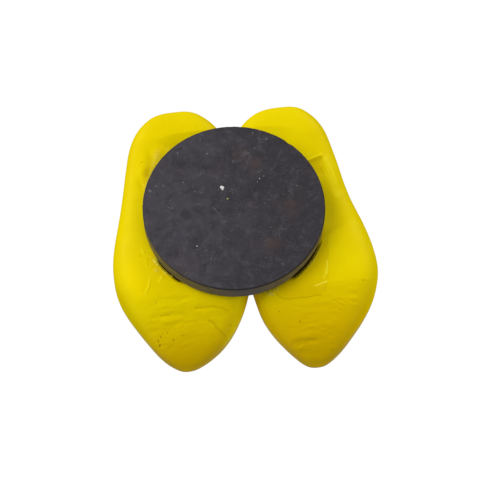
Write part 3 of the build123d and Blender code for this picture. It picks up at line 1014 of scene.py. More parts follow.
def lacquer_material():
    """Yellow lacquer outside, with bare wood inside the shoe behind a ragged border."""
    mat = Shader("yellow_lacquer_on_wood")
    pos = mat.position()
    y = mat.xyz(pos)[1]
    colour = lacquer_coat(mat, pos)
    chosen = mat.xyz(mat.voronoi(pos, scale=1.35, out="Color"))[0]
    grain = mat.ramp(mat.voronoi(pos, scale=1.35), over=(0.05, 0.12), to=(1.0, 0.0))
    grain = mat.times(grain, mat.ramp(chosen, over=(0.86, 0.88)))
    colour = mat.mix(mat.times(grain, 0.28), colour, (0.34, 0.22, 0.005))
    colour = sole_marks(mat, pos, colour)
    wood, pores = bare_wood(mat, pos)
    cloud = mat.noise(pos, scale=0.9, detail=3.0, rough=0.6)
    ragged = mat.ramp(cloud, over=(0.25, 0.75), to=(-0.22, 0.22))
    bare = mat.ramp(mat.add(mat.attribute("inside"), ragged), over=(0.46, 0.6))
    rough = mat.ramp(mat.noise(pos, scale=0.8), over=(0.3, 0.7), to=(0.3, 0.4))
    peel = mat.noise(pos, scale=1.9)
    fine = mat.noise(mat.stretched(pos, 1.0, 1.0, 3.2), scale=2.6, detail=3.0, rough=0.6)
    height = mat.add(mat.times(peel, 0.7), mat.times(fine, 0.5))
    height = mat.math("SUBTRACT", height, mat.times(grain, 0.8))
    normal = mat.bump(height, strength=0.16, distance=0.00005)
    normal = mat.bump(mat.times(pores, bare), strength=0.6, distance=0.00008, Normal=normal)
    # less mirror-like on the sole side than on the open side
    facing = mat.filled("ShaderNodeLayerWeight", Blend=0.5).outputs["Facing"]
    dull = mat.times(mat.ramp(y, over=(-13.5, -10.0)),
                     mat.ramp(facing, over=(0.03, 0.5), to=(0.12, 0.46)))
    return mat.done(mat.principled(
        Base_Color=mat.mix(bare, colour, wood),
        Roughness=mat.add(rough, mat.times(bare, 0.38)),
        Normal=normal,
        Specular_Tint=mat.mix(bare, (1.0, 0.84, 0.0), (1.0, 1.0, 1.0)),
        Specular_IOR_Level=mat.math("SUBTRACT", 0.46, dull, clamp=True),
    ))


# ------------------------------------------------------------------ ferrite
# Brown patches: (x, z, radius)
BROWN_PATCHES = [(-4.2, 7.3, 2.4), (-9.1, -1.4, 3.0), (-5.2, -7.9, 2.6), (9.8, -10.0, 2.8),
                 (-2.4, 9.6, 2.2)]
# Fields of short strokes: (turn in degrees, stroke length, offset of the pattern)
STROKES = [(18, 3.2, 4.0), (64, 2.4, 19.0), (-37, 3.6, 33.0), (-71, 2.0, 51.0),
           (41, 4.6, 73.0), (-12, 2.8, 88.0)]
# Single scratches: (start, end, width, amount)
SCRATCHES = [
    ((3.48, 0.32), (2.64, -0.99), 0.075, 0.75), ((3.85, 13.53), (4.14, 11.84), 0.06, 0.55),
    ((-6.59, 5.48), (-8.33, 7.14), 0.06, 0.40), ((4.40, -7.47), (5.75, -11.77), 0.05, 0.35),
    ((5.3, -8.6), (6.0, -12.4), 0.05, 0.28), ((-8.0, 1.35), (-8.55, 0.85), 0.08, 0.45),
    ((4.6, 6.9), (4.95, 6.3), 0.16, 0.35), ((10.9, -8.6), (10.2, -9.5), 0.06, 0.45),
    ((10.2, -8.9), (9.6, -9.8), 0.06, 0.45), ((9.3, -9.2), (8.9, -10.1), 0.06, 0.40),
    ((-9.6, -4.2), (-5.2, -6.8), 0.05, 0.28), ((-1.0, -3.2), (-4.4, -1.6), 0.045, 0.25),
    ((2.0, 5.4), (7.2, 8.8), 0.045, 0.22), ((-11.0, 4.2), (-9.4, -0.6), 0.05, 0.25),
    ((0.6, -9.8), (-3.9, -11.6), 0.05, 0.28), ((8.8, 2.6), (12.0, -1.4), 0.045, 0.22),
]
# White paint, a yellow grain and grey specks: (x, z, radius, colour)
DROPS = [
    (1.56, 3.70, 0.27, (0.70, 0.66, 0.66)), (1.46, 3.30, 0.17, (0.62, 0.58, 0.58)),
    (1.36, 3.62, 0.22, (0.66, 0.62, 0.62)), (0.87, 1.46, 0.13, (0.42, 0.42, 0.06)),
    (6.87, -6.42, 0.12, (0.36, 0.36, 0.38)), (4.92, -9.02, 0.10, (0.12, 0.115, 0.125)),
    (13.33, 4.53, 0.26, (0.10, 0.095, 0.105)),
    (-4.86, 4.50, 0.10, (0.36, 0.35, 0.36)), (-4.43, 3.88, 0.08, (0.2, 0.2, 0.2)),
    (-4.86, 5.80, 0.08, (0.2, 0.2, 0.2)), (-5.31, 5.93, 0.08, (0.16, 0.16, 0.16)),
    (-5.61, 4.85, 0.09, (0.16, 0.16, 0.17)), (8.02, 11.01, 0.09, (0.26, 0.25, 0.26)),
    (3.17, 10.24, 0.10, (0.26, 0.25, 0.26)), (7.70, 5.38, 0.09, (0.20, 0.19, 0.20)),
    (6.06, 3.50, 0.09, (0.18, 0.17, 0.18)), (4.96, 3.17, 0.08, (0.17, 0.16, 0.17)),
    (12.26, 5.23, 0.09, (0.17, 0.16, 0.17)), (11.16, 5.09, 0.08, (0.16, 0.15, 0.16)),
    (10.03, 0.94, 0.09, (0.17, 0.16, 0.17)), (11.24, 0.62, 0.08, (0.15, 0.14, 0.15)),
    (-4.90, 13.15, 0.09, (0.20, 0.19, 0.20)), (-7.03, 11.71, 0.10, (0.22, 0.21, 0.22)),
    (-4.85, 10.27, 0.09, (0.18, 0.17, 0.18)), (-10.75, 2.42, 0.09, (0.17, 0.16, 0.17)),
    (-9.29, 1.55, 0.08, (0.15, 0.14, 0.15)), (-5.16, -0.14, 0.08, (0.16, 0.15, 0.16)),
]


def ferrite_clouds(mat, pos, cloud):
    """Mottled near-black, made a little paler towards +X by painted light, with brown smudges."""
    # painted light: the face paler towards +X, the side the key lamps shine from
    light_gradient = mat.vmath("DOT_PRODUCT", pos, (0.021, 0.0, 0.003))
    colour = mat.mix(mat.ramp(mat.add(cloud, light_gradient), over=(0.26, 0.8)),
                     (0.0150, 0.0120, 0.0185), (0.0325, 0.0275, 0.0390))
    blotch = mat.noise(mat.vmath("ADD", pos, (5.0, 2.0, 40.0)), scale=0.62, detail=6.0,
                       rough=0.68, distortion=0.35)
    colour = mat.mix(mat.ramp(blotch, over=(0.5, 0.7), to=(0.0, 0.75)), colour,
                     (0.0560, 0.0480, 0.0590))
    colour = mat.mix(mat.ramp(blotch, over=(0.49, 0.33), to=(0.0, 0.75)), colour,
                     (0.0075, 0.0060, 0.0090))
    smudge = mat.noise(mat.vmath("ADD", pos, (31.0, 7.0, -12.0)), scale=0.45, detail=5.0,
                       rough=0.65, distortion=0.5)
    stains = [mat.ramp(smudge, over=(0.52, 0.74), to=(0.0, 0.35))]
    for x, z, radius in BROWN_PATCHES:
        stains.append(mat.times(mat.near(pos, x, z, full=radius * 0.1, end=radius),
                                mat.ramp(smudge, over=(0.38, 0.6), to=(0.15, 0.75))))
    return mat.mix(mat.fold("MAXIMUM", stains), colour, (0.0450, 0.0230, 0.0200))


def ferrite_specks(mat, pos, scale, share, radius, shift):
    """Scattered discs of varied size: (mask, random value of each)."""
    moved = mat.vmath("ADD", pos, shift)
    distance = mat.voronoi(moved, scale)
    random = mat.xyz(mat.voronoi(moved, scale, out="Color"))
    size = mat.ramp(random[1], over=(0.0, 1.0), to=(radius * 0.45, radius * 1.25))
    chosen = mat.ramp(random[0], over=(1 - share, 1 - share * 0.4))
    return mat.times(mat.math("LESS_THAN", distance, size), chosen), random[2]


def ferrite_scratches(mat, pos):
    """Short hairline strokes in many directions and the single scratches."""
    strokes = []
    for turn, length, offset in STROKES:
        turned = mat.node("ShaderNodeVectorRotate", rotation_type="Y_AXIS")
        mat.put(turned.inputs["Vector"], pos)
        turned.inputs["Angle"].default_value = math.radians(turn)
        mapped = mat.filled("ShaderNodeMapping", Vector=turned.outputs[0],
                            Scale=(1 / length, 0.0, 1 / 0.42),
                            Location=(offset, 0, offset * 0.7)).outputs[0]
        distance = mat.voronoi(mapped, scale=1.0)
        chosen = mat.xyz(mat.voronoi(mapped, scale=1.0, out="Color"))[0]
        strokes.append(mat.times(mat.ramp(distance, over=(0.05, 0.17), to=(1.0, 0.0)),
                                 mat.ramp(chosen, over=(0.7, 0.98))))
    broken = mat.ramp(mat.noise(pos, scale=2.4, rough=0.6), over=(0.38, 0.58))
    lines = [mat.times(mat.fold("MAXIMUM", strokes), broken)]
    for (start_x, start_z), (end_x, end_z), width, amount in SCRATCHES:
        length = math.dist((start_x, start_z), (end_x, end_z))
        way_x, way_z = (end_x - start_x) / length, (end_z - start_z) / length
        off = mat.vmath("SUBTRACT", pos, (start_x, 0.0, start_z))
        wobble = mat.ramp(mat.noise(pos, scale=0.9), over=(0.3, 0.7), to=(-0.12, 0.12),
                          smooth=False)
        gone = mat.vmath("DOT_PRODUCT", off, (way_x, 0.0, way_z))
        side = mat.add(mat.vmath("DOT_PRODUCT", off, (-way_z, 0.0, way_x)), wobble)
        side = mat.math("ABSOLUTE", side)
        ends = mat.times(mat.ramp(gone, over=(0.0, 0.2 * length)),
                         mat.ramp(gone, over=(length, 0.8 * length)))
        line = mat.ramp(side, over=(width * 0.3, width), to=(amount, 0.0))
        lines.append(mat.times(line, ends))
    return mat.fold("MAXIMUM", lines)


def ferrite_rim(mat, pos, colour):
    """Wall with a painted brown reflection of the yellow clogs, greyer at its toe side, and
    painted shade along the rim of the gripping face.
    """
    x, y, z = mat.xyz(pos)
    radius = mat.length(mat.stretched(pos, 1.0, 0.0, 1.0))
    wall = mat.times(mat.ramp(radius, over=(DISC_R - 0.1, DISC_R - 0.02)),
                     mat.ramp(y, over=(-0.3, -0.42)))
    # painted reflection of the yellow clogs: brownish, in uneven clouds
    clog_reflection = mat.noise(mat.stretched(pos, 0.5, 2.2, 0.5), scale=1.3, detail=3.0, rough=0.6)
    tint = mat.mix(mat.ramp(clog_reflection, over=(0.35, 0.7)), (0.082, 0.066, 0.045),
                   (0.150, 0.122, 0.078))
    from_toe = mat.math("ABSOLUTE", mat.add(mat.math("ARCTAN2", z, x), math.radians(91)))
    less_reflection = mat.ramp(from_toe, over=(math.radians(24), math.radians(8)), to=(0.0, 0.85))
    tint = mat.mix(less_reflection, tint, (0.098, 0.086, 0.082))
    colour = mat.mix(wall, colour, tint)
    # painted shade along the rim of the gripping face
    edge = mat.times(mat.ramp(radius, over=(DISC_R - 0.3, DISC_R - 0.1)),
                     mat.ramp(y, over=(-0.42, -0.2)))
    return mat.mix(mat.times(edge, 0.72), colour, (0.010, 0.009, 0.010))


def ferrite_material():
    mat = Shader("sintered_ferrite")
    pos = mat.position()
    cloud = mat.noise(pos, scale=0.19, detail=5.0, rough=0.62)
    colour = ferrite_clouds(mat, pos, cloud)
    grit = mat.noise(pos, scale=3.2, detail=3.0, rough=0.7)
    colour = mat.mix(mat.ramp(grit, over=(0.5, 0.78), to=(0.0, 0.62)), colour,
                     (0.074, 0.066, 0.076))
    # pale specks, a few bright and many faint
    few, tone = ferrite_specks(mat, pos, scale=0.46, share=0.4, radius=0.05,
                               shift=(3.0, 1.0, 9.0))
    strength = mat.ramp(tone, over=(0.0, 1.0), to=(0.25, 0.85))
    colour = mat.mix(mat.times(few, strength), colour, (0.20, 0.19, 0.195))
    many, tone = ferrite_specks(mat, pos, scale=1.15, share=0.42, radius=0.075,
                                shift=(13.0, 4.0, 2.0))
    strength = mat.ramp(tone, over=(0.0, 1.0), to=(0.15, 0.6))
    colour = mat.mix(mat.times(many, strength), colour, (0.115, 0.105, 0.112))
    scratch = ferrite_scratches(mat, pos)
    colour = mat.mix(mat.times(scratch, 0.85), colour, (0.140, 0.126, 0.134))
    # rubbed patch
    streaks = mat.noise(mat.stretched(pos, 0.6, 1, 2.6), scale=1.4, detail=3.0, rough=0.6)
    rub = mat.times(mat.near(pos, x=-3.3, z=9.05, full=0.2, end=1.3),
                    mat.ramp(streaks, over=(0.46, 0.7)))
    colour = mat.mix(mat.times(rub, 0.75), colour, (0.16, 0.145, 0.155))
    for x, z, radius, tint in DROPS:
        drop = mat.near(pos, x, z, full=radius * 0.75, end=radius * 1.15)
        colour = mat.mix(drop, colour, tint)
    colour = ferrite_rim(mat, pos, colour)
    # painted shade in the gap under the broken back edge and along the back edge
    broken_edge_shade = mat.attribute("broken_edge_shade")
    height = mat.add(mat.times(grit, 0.5), mat.times(scratch, -0.35))
    height = mat.add(height, mat.times(few, 0.8))
    return mat.done(mat.principled(
        Base_Color=mat.mix(broken_edge_shade, colour, (0.008, 0.0045, 0.001)),
        Roughness=mat.ramp(cloud, over=(0.3, 0.7), to=(0.5, 0.62)),
        Normal=mat.bump(height, strength=0.4, distance=0.00004),
        Specular_IOR_Level=mat.times(mat.math("SUBTRACT", 1.0, broken_edge_shade), 0.5),
    ))


def glue_material():
    """Clear film with a weak reflection, milky where the attribute says so; some milky patches are
    painted highlights of the film.
    """
    mat = Shader("clear_cured_glue")
    pos = mat.position()
    tint = mat.mix(mat.noise(pos, scale=0.7), (0.984, 0.966, 0.82), (0.991, 0.976, 0.86))
    clear = mat.filled("ShaderNodeBsdfTransparent", Color=tint).outputs[0]
    ripple = mat.bump(mat.noise(pos, scale=0.9), strength=0.2, distance=0.00006)
    gloss = mat.filled("ShaderNodeBsdfGlossy", Roughness=0.11, Color=(1.0, 0.92, 0.3),
                       Normal=ripple).outputs[0]
    back = mat.node("ShaderNodeNewGeometry").outputs["Backfacing"]
    index = mat.ramp(back, over=(0.0, 1.0), to=(1.38, 1 / 1.38), smooth=False)
    fresnel = mat.filled("ShaderNodeFresnel", IOR=index, Normal=ripple).outputs[0]
    film = mat.mix_shader(mat.times(fresnel, 0.25), clear, gloss)
    # milky glue, which also paints highlights on the film
    milky_sheen = mat.principled(Base_Color=(0.90, 0.79, 0.045), Roughness=0.5,
                          Specular_IOR_Level=0.25)
    speck = mat.ramp(mat.noise(pos, scale=1.2), over=(0.35, 0.6), to=(0.6, 1.0))
    return mat.done(mat.mix_shader(mat.times(mat.attribute("milk_and_sheen"), speck), film, milky_sheen))


# ------------------------------------------------------------------ ferrite disc
EDGE_ROUND = 0.22
# Chips in the edge: (x, z, size, depth)
CHIPS = [
    (-10.67, 10.50, 0.36, 0.10), (9.9, -11.3, 0.36, 0.05), (4.2, -14.4, 0.36, 0.05),
    (-6.4, -13.6, 0.30, 0.04), (13.9, -5.4, 0.34, 0.04), (12.9, 7.6, 0.30, 0.05),
]


def disc_profile():
    """(radius, y) from the centre of the gripping face round to that of the back."""
    turns = np.linspace(0, math.pi / 2, 6)
    inset = DISC_R - EDGE_ROUND
    profile = [(r, 0.0) for r in np.linspace(0.8, DISC_R - 0.62, 46)]
    profile += [(r, 0.0) for r in np.linspace(DISC_R - 0.5, DISC_R - 0.24, 4)]
    profile += [(inset + EDGE_ROUND * math.sin(t), -EDGE_ROUND + EDGE_ROUND * math.cos(t))
                for t in turns]
    profile += [(DISC_R, y) for y in np.linspace(-0.4, -DISC_T + 0.4, 23)]
    profile += [(inset + EDGE_ROUND * math.cos(t), -DISC_T + EDGE_ROUND - EDGE_ROUND * math.sin(t))
                for t in turns]
    return profile + [(r, -DISC_T) for r in np.linspace(DISC_R - 0.5, 0.8, 24)]


def chip_edges(points, radius, angle):
    """Bites out of both edges, mostly tiny, a few that can be seen."""
    around = points_at(np.cos(angle) * 40, 0, np.sin(angle) * 40)
    tiny = (np.clip(noise(around * 0.9, 3) - 0.4, 0, 1) * 0.07
            + np.clip(noise(around * 2.2, 5) - 0.3, 0, 1) * 0.035)
    x, y, z = points.T
    bite = np.where(y > -1.4, tiny, np.roll(tiny, 917))
    for chip_x, chip_z, size, deep in CHIPS:
        reach = math.hypot(chip_x, chip_z)
        chip_x, chip_z = chip_x / reach * DISC_R, chip_z / reach * DISC_R
        squared = (x - chip_x) ** 2 + (z - chip_z) ** 2 + (y * 0.8) ** 2
        bite = bite + deep * np.exp(-squared / size**2)
    upright = np.maximum(step(-0.9, -0.15, y), step(-DISC_T + 0.9, -DISC_T + 0.15, y))
    edge = step(DISC_R - 0.9, DISC_R - 0.1, radius) * upright
    shrink = 1 - bite * edge / np.maximum(radius, 1)
    outward = np.where(y > -DISC_T / 2, 1.0, -1.0)
    return points_at(x * shrink, y - outward * edge * bite * 0.55, z * shrink), outward


def disc_piece(material):
    """A sintered disc: faces ground a little unevenly, a broken edge with chips."""
    angle = np.linspace(0, 2 * math.pi, 720, endpoint=False)
    rings = np.array([points_at(r * np.cos(angle), y, r * np.sin(angle))
                      for r, y in disc_profile()])
    points = rings.reshape(-1, 3)
    radius = np.hypot(points[:, 0], points[:, 2])
    angle = np.arctan2(points[:, 2], points[:, 0])
    points, outward = chip_edges(points, radius, angle)
    flat = points_at(points[:, 0], 0, points[:, 2])
    uneven = 0.01 * (fbm(flat / 2.2, 15, 3) - 1) + 0.006 * (noise(flat / 0.5, 17) - 1)
    points[:, 1] += outward * uneven * step(DISC_R - 0.15, DISC_R - 0.6, radius)
    # ripple of the wall, which dies out where the angle wraps round
    ripple = 0.012 * noise(points_at(angle * 55, points[:, 1] * 1.2, 0), 21)
    turn = np.clip((angle + math.pi) / (2 * math.pi), 0, 1)
    ripple = ripple * np.sin(turn * math.pi) ** 0.2
    wall = step(DISC_R - 0.05, DISC_R, radius)
    points[:, [0, 2]] *= (1 + (ripple - 0.012) * wall / DISC_R)[:, None]
    # the back edge is broken away over two stretches, which leaves a gap below it; that gap and
    # the whole back edge get painted shade
    degrees = np.degrees(angle)
    missing = (0.66 * step(-160, -138, degrees) * step(-113, -126, degrees)
               + 0.1 * step(-62, -44, degrees) * step(-21, -30, degrees))
    missing = missing * (1 + 0.1 * noise(points_at(degrees / 3.0, 0, 0), 43))
    from_back = points[:, 1] + DISC_T
    broken_edge_shade = (step(missing + 0.1, missing - 0.02, from_back) * step(0.04, 0.12, missing)
            * step(DISC_R - 2.0, DISC_R - 1.2, radius))
    trim = 1 - 0.42 * broken_edge_shade * step(0, 0.5, missing) / np.maximum(radius, 1)
    points[:, [0, 2]] *= trim[:, None]
    back_edge = step(0.3, 0.12, from_back) * step(DISC_R - 0.3, DISC_R - 0.2, radius)
    broken_edge_shade = np.maximum(broken_edge_shade, 0.75 * back_edge)
    rings = points.reshape(rings.shape)
    first, last = ((0, float(rings[i, :, 1].mean()), 0) for i in (0, -1))
    mesh = rings_mesh("disc", first, rings, last)
    shade_smooth(mesh)
    add_attribute(mesh, "broken_edge_shade", np.concatenate([[0], broken_edge_shade, [0]]))
    finish_piece("ferrite_disc_ground", mesh, material, "ferrite_disc")


# ------------------------------------------------------------------ glue
# films: (outline, thickness, roughness)     blobs: (x, z, radius, height, cloudiness)
# patches of milk and painted highlight: (x, z, radius in x, radius in z, milkiness and sheen)
# lines: (points, width, height, cloudiness)
GLUE = {
    "right_glue_pad": dict(
        clog="right_clog", seed=3,
        films=[
            ([(9.0, 14.9), (10.6, 14.9), (12.0, 14.2), (13.2, 12.6), (14.0, 10.6), (14.5, 8.6),
              (14.8, 6.2), (14.5, 4.6), (12.5, 6.0), (10.0, 10.0)], 0.075, 0.08),
            ([(14.5, -5.2), (14.8, -6.6), (14.5, -8.2), (13.7, -9.6), (12.4, -10.5),
              (11.0, -11.0), (9.8, -11.2), (10.5, -9.4), (12.5, -7.3), (13.3, -5.6)],
             0.05, 0.35),
        ],
        blobs=[
            (13.86, -6.68, 0.50, 0.13, 1.00), (13.50, -7.30, 0.36, 0.11, 0.80),
            (13.78, -8.32, 0.34, 0.09, 0.75), (13.06, -8.03, 0.28, 0.09, 0.70),
            (12.65, -8.60, 0.26, 0.09, 0.75), (12.35, -9.03, 0.28, 0.10, 0.80),
            (11.95, -9.40, 0.24, 0.09, 0.75), (11.65, -9.66, 0.26, 0.10, 0.85),
            (14.2, -6.0, 0.20, 0.05, 0.45), (4.01, -13.99, 0.17, 0.18, 1.0),
        ],
        # painted highlights where the film on the heel catches the light, drawn as milky patches
        milk_and_sheen_patches=[(11.3, 13.1, 0.50, 1.15, 0.45), (12.2, 11.5, 0.40, 1.0, 0.42),
                (13.7, 12.3, 0.45, 0.95, 0.22)],
        lines=[([(10.6, 13.9), (11.29, 13.01), (12.33, 11.24), (13.1, 9.9), (13.7, 8.3),
                 (14.15, 6.8), (14.45, 5.0)], 0.22, 0.03, 0.42)],
    ),
    "left_glue_pad": dict(
        clog="left_clog", seed=8,
        films=[
            ([(-14.70, -5.4), (-14.64, -7.32), (-14.62, -9.13), (-14.45, -10.18),
              (-14.25, -12.0), (-13.95, -13.60), (-13.50, -14.4), (-13.05, -15.40),
              (-12.20, -15.80), (-11.54, -15.64), (-10.65, -15.83), (-9.51, -15.86),
              (-9.01, -15.75), (-7.75, -15.79), (-7.00, -15.78), (-6.03, -15.55),
              (-5.35, -15.0), (-4.80, -14.3), (-5.2, -13.4), (-8.0, -11.4), (-11.0, -8.6),
              (-12.8, -5.6), (-13.9, -4.0)], 0.06, 0.08),
        ],
        blobs=[
            (-4.01, -14.30, 0.50, 0.13, 0.95), (-4.45, -14.62, 0.34, 0.10, 0.80),
            (-4.72, -13.99, 0.30, 0.10, 0.85), (-5.22, -13.78, 0.30, 0.13, 1.00),
            (-3.65, -14.10, 0.26, 0.09, 0.80),
        ],
        milk_and_sheen_patches=[(-4.3, -14.2, 0.75, 0.40, 0.45)],
        lines=[([(-13.62, -6.69), (-12.90, -8.30), (-11.92, -9.80), (-10.67, -10.92),
                 (-9.46, -11.79), (-8.14, -12.61)], 0.17, 0.10, 0.50)],
    ),
}
NO_FILM = -0.06   # thickness where there is no glue


def film_edge(x, z, outline, roughness, seed):
    """Signed distance inside a closed outline, with a slightly wandering edge."""
    points = outline + [outline[0]]
    distance, _, _ = along(x, z, points)
    inside = np.zeros(np.shape(x), bool)
    for (start_x, start_z), (end_x, end_z) in zip(points, points[1:]):
        crosses = (start_z > z) != (end_z > z)
        with np.errstate(divide="ignore", invalid="ignore"):
            cross_x = start_x + (z - start_z) * (end_x - start_x) / (end_z - start_z)
        inside ^= crosses & (x < cross_x)
    wander = fbm(points_at(x, 0, z) / 1.3, seed, 3)
    return np.where(inside, distance, -distance) + roughness * wander


def squeezed_glue(x, z, spec):
    """(thickness, milkiness with painted highlights) of the glue squeezed out on to the sole."""
    flat = points_at(x, 0, z)
    thick = np.full(len(x), NO_FILM)
    for i, (outline, skin, rough) in enumerate(spec["films"]):
        outline = cut_corners(outline, 2, True)
        edge = film_edge(x, z, outline, 0.1 * rough, spec["seed"] + i)
        film = skin * step(-0.02, 0.4, edge) * (1 + rough * fbm(flat / 0.8, 91 + i, 3))
        film = film + 0.15 * skin * np.exp(-(((edge - 0.3) / 0.22) ** 2)) * (edge > 0)
        thick = np.maximum(thick, np.where(edge > -0.02, film, NO_FILM))
    milk_and_sheen = np.zeros_like(x)
    # milky patches, some of them painted highlights of the film
    for *place, milky_sheen in spec["milk_and_sheen_patches"]:
        patch = spot(x, z, *place) * (0.95 + 0.15 * fbm(flat / 1.4, 61, 2))
        milk_and_sheen = np.maximum(milk_and_sheen, milky_sheen * patch)
    for points, width, rise, milky_sheen in spec["lines"]:
        line = groove(x, z, points, width, 0.16)
        alone = np.where(line > 0.3, rise * line, thick)
        thick = np.where(thick > -0.05, thick + rise * line, alone)
        milk_and_sheen = np.maximum(milk_and_sheen, milky_sheen * line)
    for blob_x, blob_z, radius, height, milky_sheen in spec["blobs"]:
        wobble = 1 + 0.4 * fbm(flat / 0.75, int(abs(blob_x * 31)), 2)
        out = np.hypot(x - blob_x, z - blob_z) / (radius * wobble)
        dome = height * np.clip(1 - out**2, 0, 1) * (0.85 + 0.3 * noise(flat / 0.6, 7))
        thick = np.maximum(thick, dome + np.where(out < 1, 0.02, -9))
        milk_and_sheen = np.maximum(milk_and_sheen, milky_sheen * step(1.25, 0.6, out))
    return thick, milk_and_sheen


def sole_heights(tree, x, z, wanted):
    """Y of the sole at the wanted places, found with rays along -Y."""
    base = np.full(len(x), np.nan)
    for i in np.flatnonzero(wanted):
        place = tree.ray_cast(Vector((x[i], 5.0, z[i])), Vector((0, -1, 0)))[0]
        if place is not None:
            base[i] = place[1]
    return base


def field_mesh(name, grid_x, grid_z, top, base, keep, milk_and_sheen):
    """Closed mesh of a height field over the whole cells whose four corners are kept."""
    cell = keep[:-1, :-1] & keep[1:, :-1] & keep[:-1, 1:] & keep[1:, 1:]
    padded = np.pad(cell, 1)
    rows, columns = keep.shape
    touching = np.array([padded[i:i + rows, j:j + columns] for i, j in np.ndindex(2, 2)])
    used = touching.any(0)
    border = used & ~touching.all(0)
    top = np.where(border, np.minimum(top, base - 0.02), top)
    under = np.minimum(base - 0.07, top - 0.03)
    count = int(used.sum())
    index = -np.ones(keep.shape, int)
    index[used] = np.arange(count)
    verts = [vert for y in (top, under) for vert in zip(grid_x[used], y[used], grid_z[used])]
    faces = []
    for i, j in zip(*np.nonzero(cell)):
        upper = [index[i, j], index[i + 1, j], index[i + 1, j + 1], index[i, j + 1]]
        lower = [corner + count for corner in upper]
        faces.append((upper[0], upper[3], upper[2], upper[1]))
        faces.append(tuple(lower))
        if not padded[i, j + 1]:
            faces.append((upper[0], lower[0], lower[3], upper[3]))
        if not padded[i + 2, j + 1]:
            faces.append((upper[1], upper[2], lower[2], lower[1]))
        if not padded[i + 1, j]:
            faces.append((upper[0], upper[1], lower[1], lower[0]))
        if not padded[i + 1, j + 2]:
            faces.append((upper[3], lower[3], lower[2], upper[2]))
    mesh = closed_mesh(name, verts, faces)
    add_attribute(mesh, "milk_and_sheen", np.tile(milk_and_sheen[used], 2))
    return mesh


def glue_piece(name, spec, clog, tree, material):
    """Glue bed under the disc and the film squeezed out, as one height field over the
    uneven sole, with its underside just in the wood."""
    low, high = node_box(name)
    pitch = 0.13
    grid_x, grid_z = np.meshgrid(np.arange(low[0] - 1.6, high[0] + 1.6, pitch),
                                 np.arange(low[2] - 2.4, high[2] + 1.6, pitch), indexing="ij")
    x, z = grid_x.ravel(), grid_z.ravel()
    radius, angle = np.hypot(x, z), np.arctan2(z, x)
    sides = clog.cut_sides(clog.from_heel(z), 0.75)
    in_sole = np.minimum(x - np.minimum(*sides), np.maximum(*sides) - x)
    thick, milk_and_sheen = squeezed_glue(x, z, spec)
    # the bed rises to the disc's back inside its rim
    around = points_at(np.cos(angle) * 9, 0, np.sin(angle) * 9)
    bed = step(0.0, 0.5, 14.15 + 0.35 * fbm(around, 5 + spec["seed"], 3) - radius)
    base = sole_heights(tree, x, z, in_sole > 0)
    ceiling = DISC_LOW[1] - 0.004
    top = base + np.minimum(thick, 0.42)
    top = np.where(bed > 0, top + (ceiling - top) * bed, top)
    under_disc = np.minimum(top, ceiling - 0.14 * (1 - bed))
    top = np.where(radius < DISC_R - 0.02, under_disc, top)
    keep = (in_sole > 0.02) & np.isfinite(base) & ((thick > -0.05) | (bed > 0))
    keep = keep & (base > SOLE_Y - 3.2)
    fields = [field.reshape(grid_x.shape) for field in (top, base, keep, milk_and_sheen)]
    mesh = field_mesh(name, grid_x, grid_z, *fields)
    shade_smooth(mesh)
    finish_piece(name + "_cured", mesh, material, name)


def joint_glue_piece(material):
    """The thin glue line between the flats, with a soft uneven edge."""
    low, high = node_box("clog_joint_glue")
    middle_y, middle_z = (low[1] + high[1]) / 2, (low[2] + high[2]) / 2
    half_y, half_z = (high[1] - low[1]) / 2, (high[2] - low[2]) / 2
    angle = np.linspace(0, 2 * math.pi, 220, endpoint=False)
    cos, sin = np.cos(angle), np.sin(angle)
    wobble = 0.965 + 0.03 * fbm(points_at(cos * 5, sin * 5, 0), 8, 3)
    edge_y = half_y * signed_power(cos, 2 / 4.2) * wobble
    edge_z = half_z * signed_power(sin, 2 / 4.2) * wobble
    start, end = low[0] + 0.004, high[0] - 0.004
    stations = [(start, size) for size in np.linspace(0.08, 0.95, 14)]
    stations += [(start + (end - start) * t, 0.97 + 0.03 * math.sin(t * math.pi))
                 for t in np.linspace(0, 1, 5)]
    stations += [(end, size) for size in np.linspace(0.95, 0.08, 14)]
    rings = [points_at(x, middle_y + edge_y * size, middle_z + edge_z * size)
             for x, size in stations]
    mesh = rings_mesh("joint", (start, middle_y, middle_z), rings, (end, middle_y, middle_z))
    add_attribute(mesh, "milk_and_sheen", np.full(len(mesh.vertices), 0.6))
    finish_piece("clog_joint_glue_line", mesh, material, "clog_joint_glue")


# ------------------------------------------------------------------ stage, light and camera
# In this section sizes are in metres.
def stage_floor():
    mesh = bpy.data.meshes.new("studio_floor")
    with editing(mesh) as edit:
        bmesh.ops.create_grid(edit, x_segments=40, y_segments=40, size=3.0)
    floor = add_object("studio_floor", mesh)
    floor.location = (0, 0, -0.165)
    floor.visible_diffuse = floor.visible_glossy = floor.visible_shadow = False
    mat = Shader("studio_floor")
    cloud = mat.noise(mat.position(scale=1.0), scale=1.2)
    paper = mat.principled(
        Base_Color=mat.mix(cloud, (0.86, 0.86, 0.86), (0.89, 0.89, 0.885)), Roughness=0.85,
        Emission_Color=(1.0, 1.0, 1.0), Emission_Strength=0.3,
    )
    mesh.materials.append(mat.done(paper))


def white_world():
    """White all round, with its own strength for camera, glossy and other rays."""
    world = bpy.data.worlds.new("white_tent")
    scene.world = world
    world.use_nodes = True
    nodes, links = world.node_tree.nodes, world.node_tree.links
    nodes.clear()
    out = nodes.new("ShaderNodeOutputWorld")
    rays = nodes.new("ShaderNodeLightPath").outputs

    def background(strength):
        made = nodes.new("ShaderNodeBackground")
        made.inputs["Color"].default_value = (1, 1, 1, 1)
        made.inputs["Strength"].default_value = strength
        return made.outputs[0]

    def choose(ray, otherwise, chosen):
        made = nodes.new("ShaderNodeMixShader")
        for i, socket in enumerate((rays[ray], otherwise, chosen)):
            links.new(socket, made.inputs[i])
        return made.outputs[0]

    lighting = choose("Is Glossy Ray", background(0.336), background(0.16))
    links.new(choose("Is Camera Ray", lighting, background(1.02)), out.inputs["Surface"])


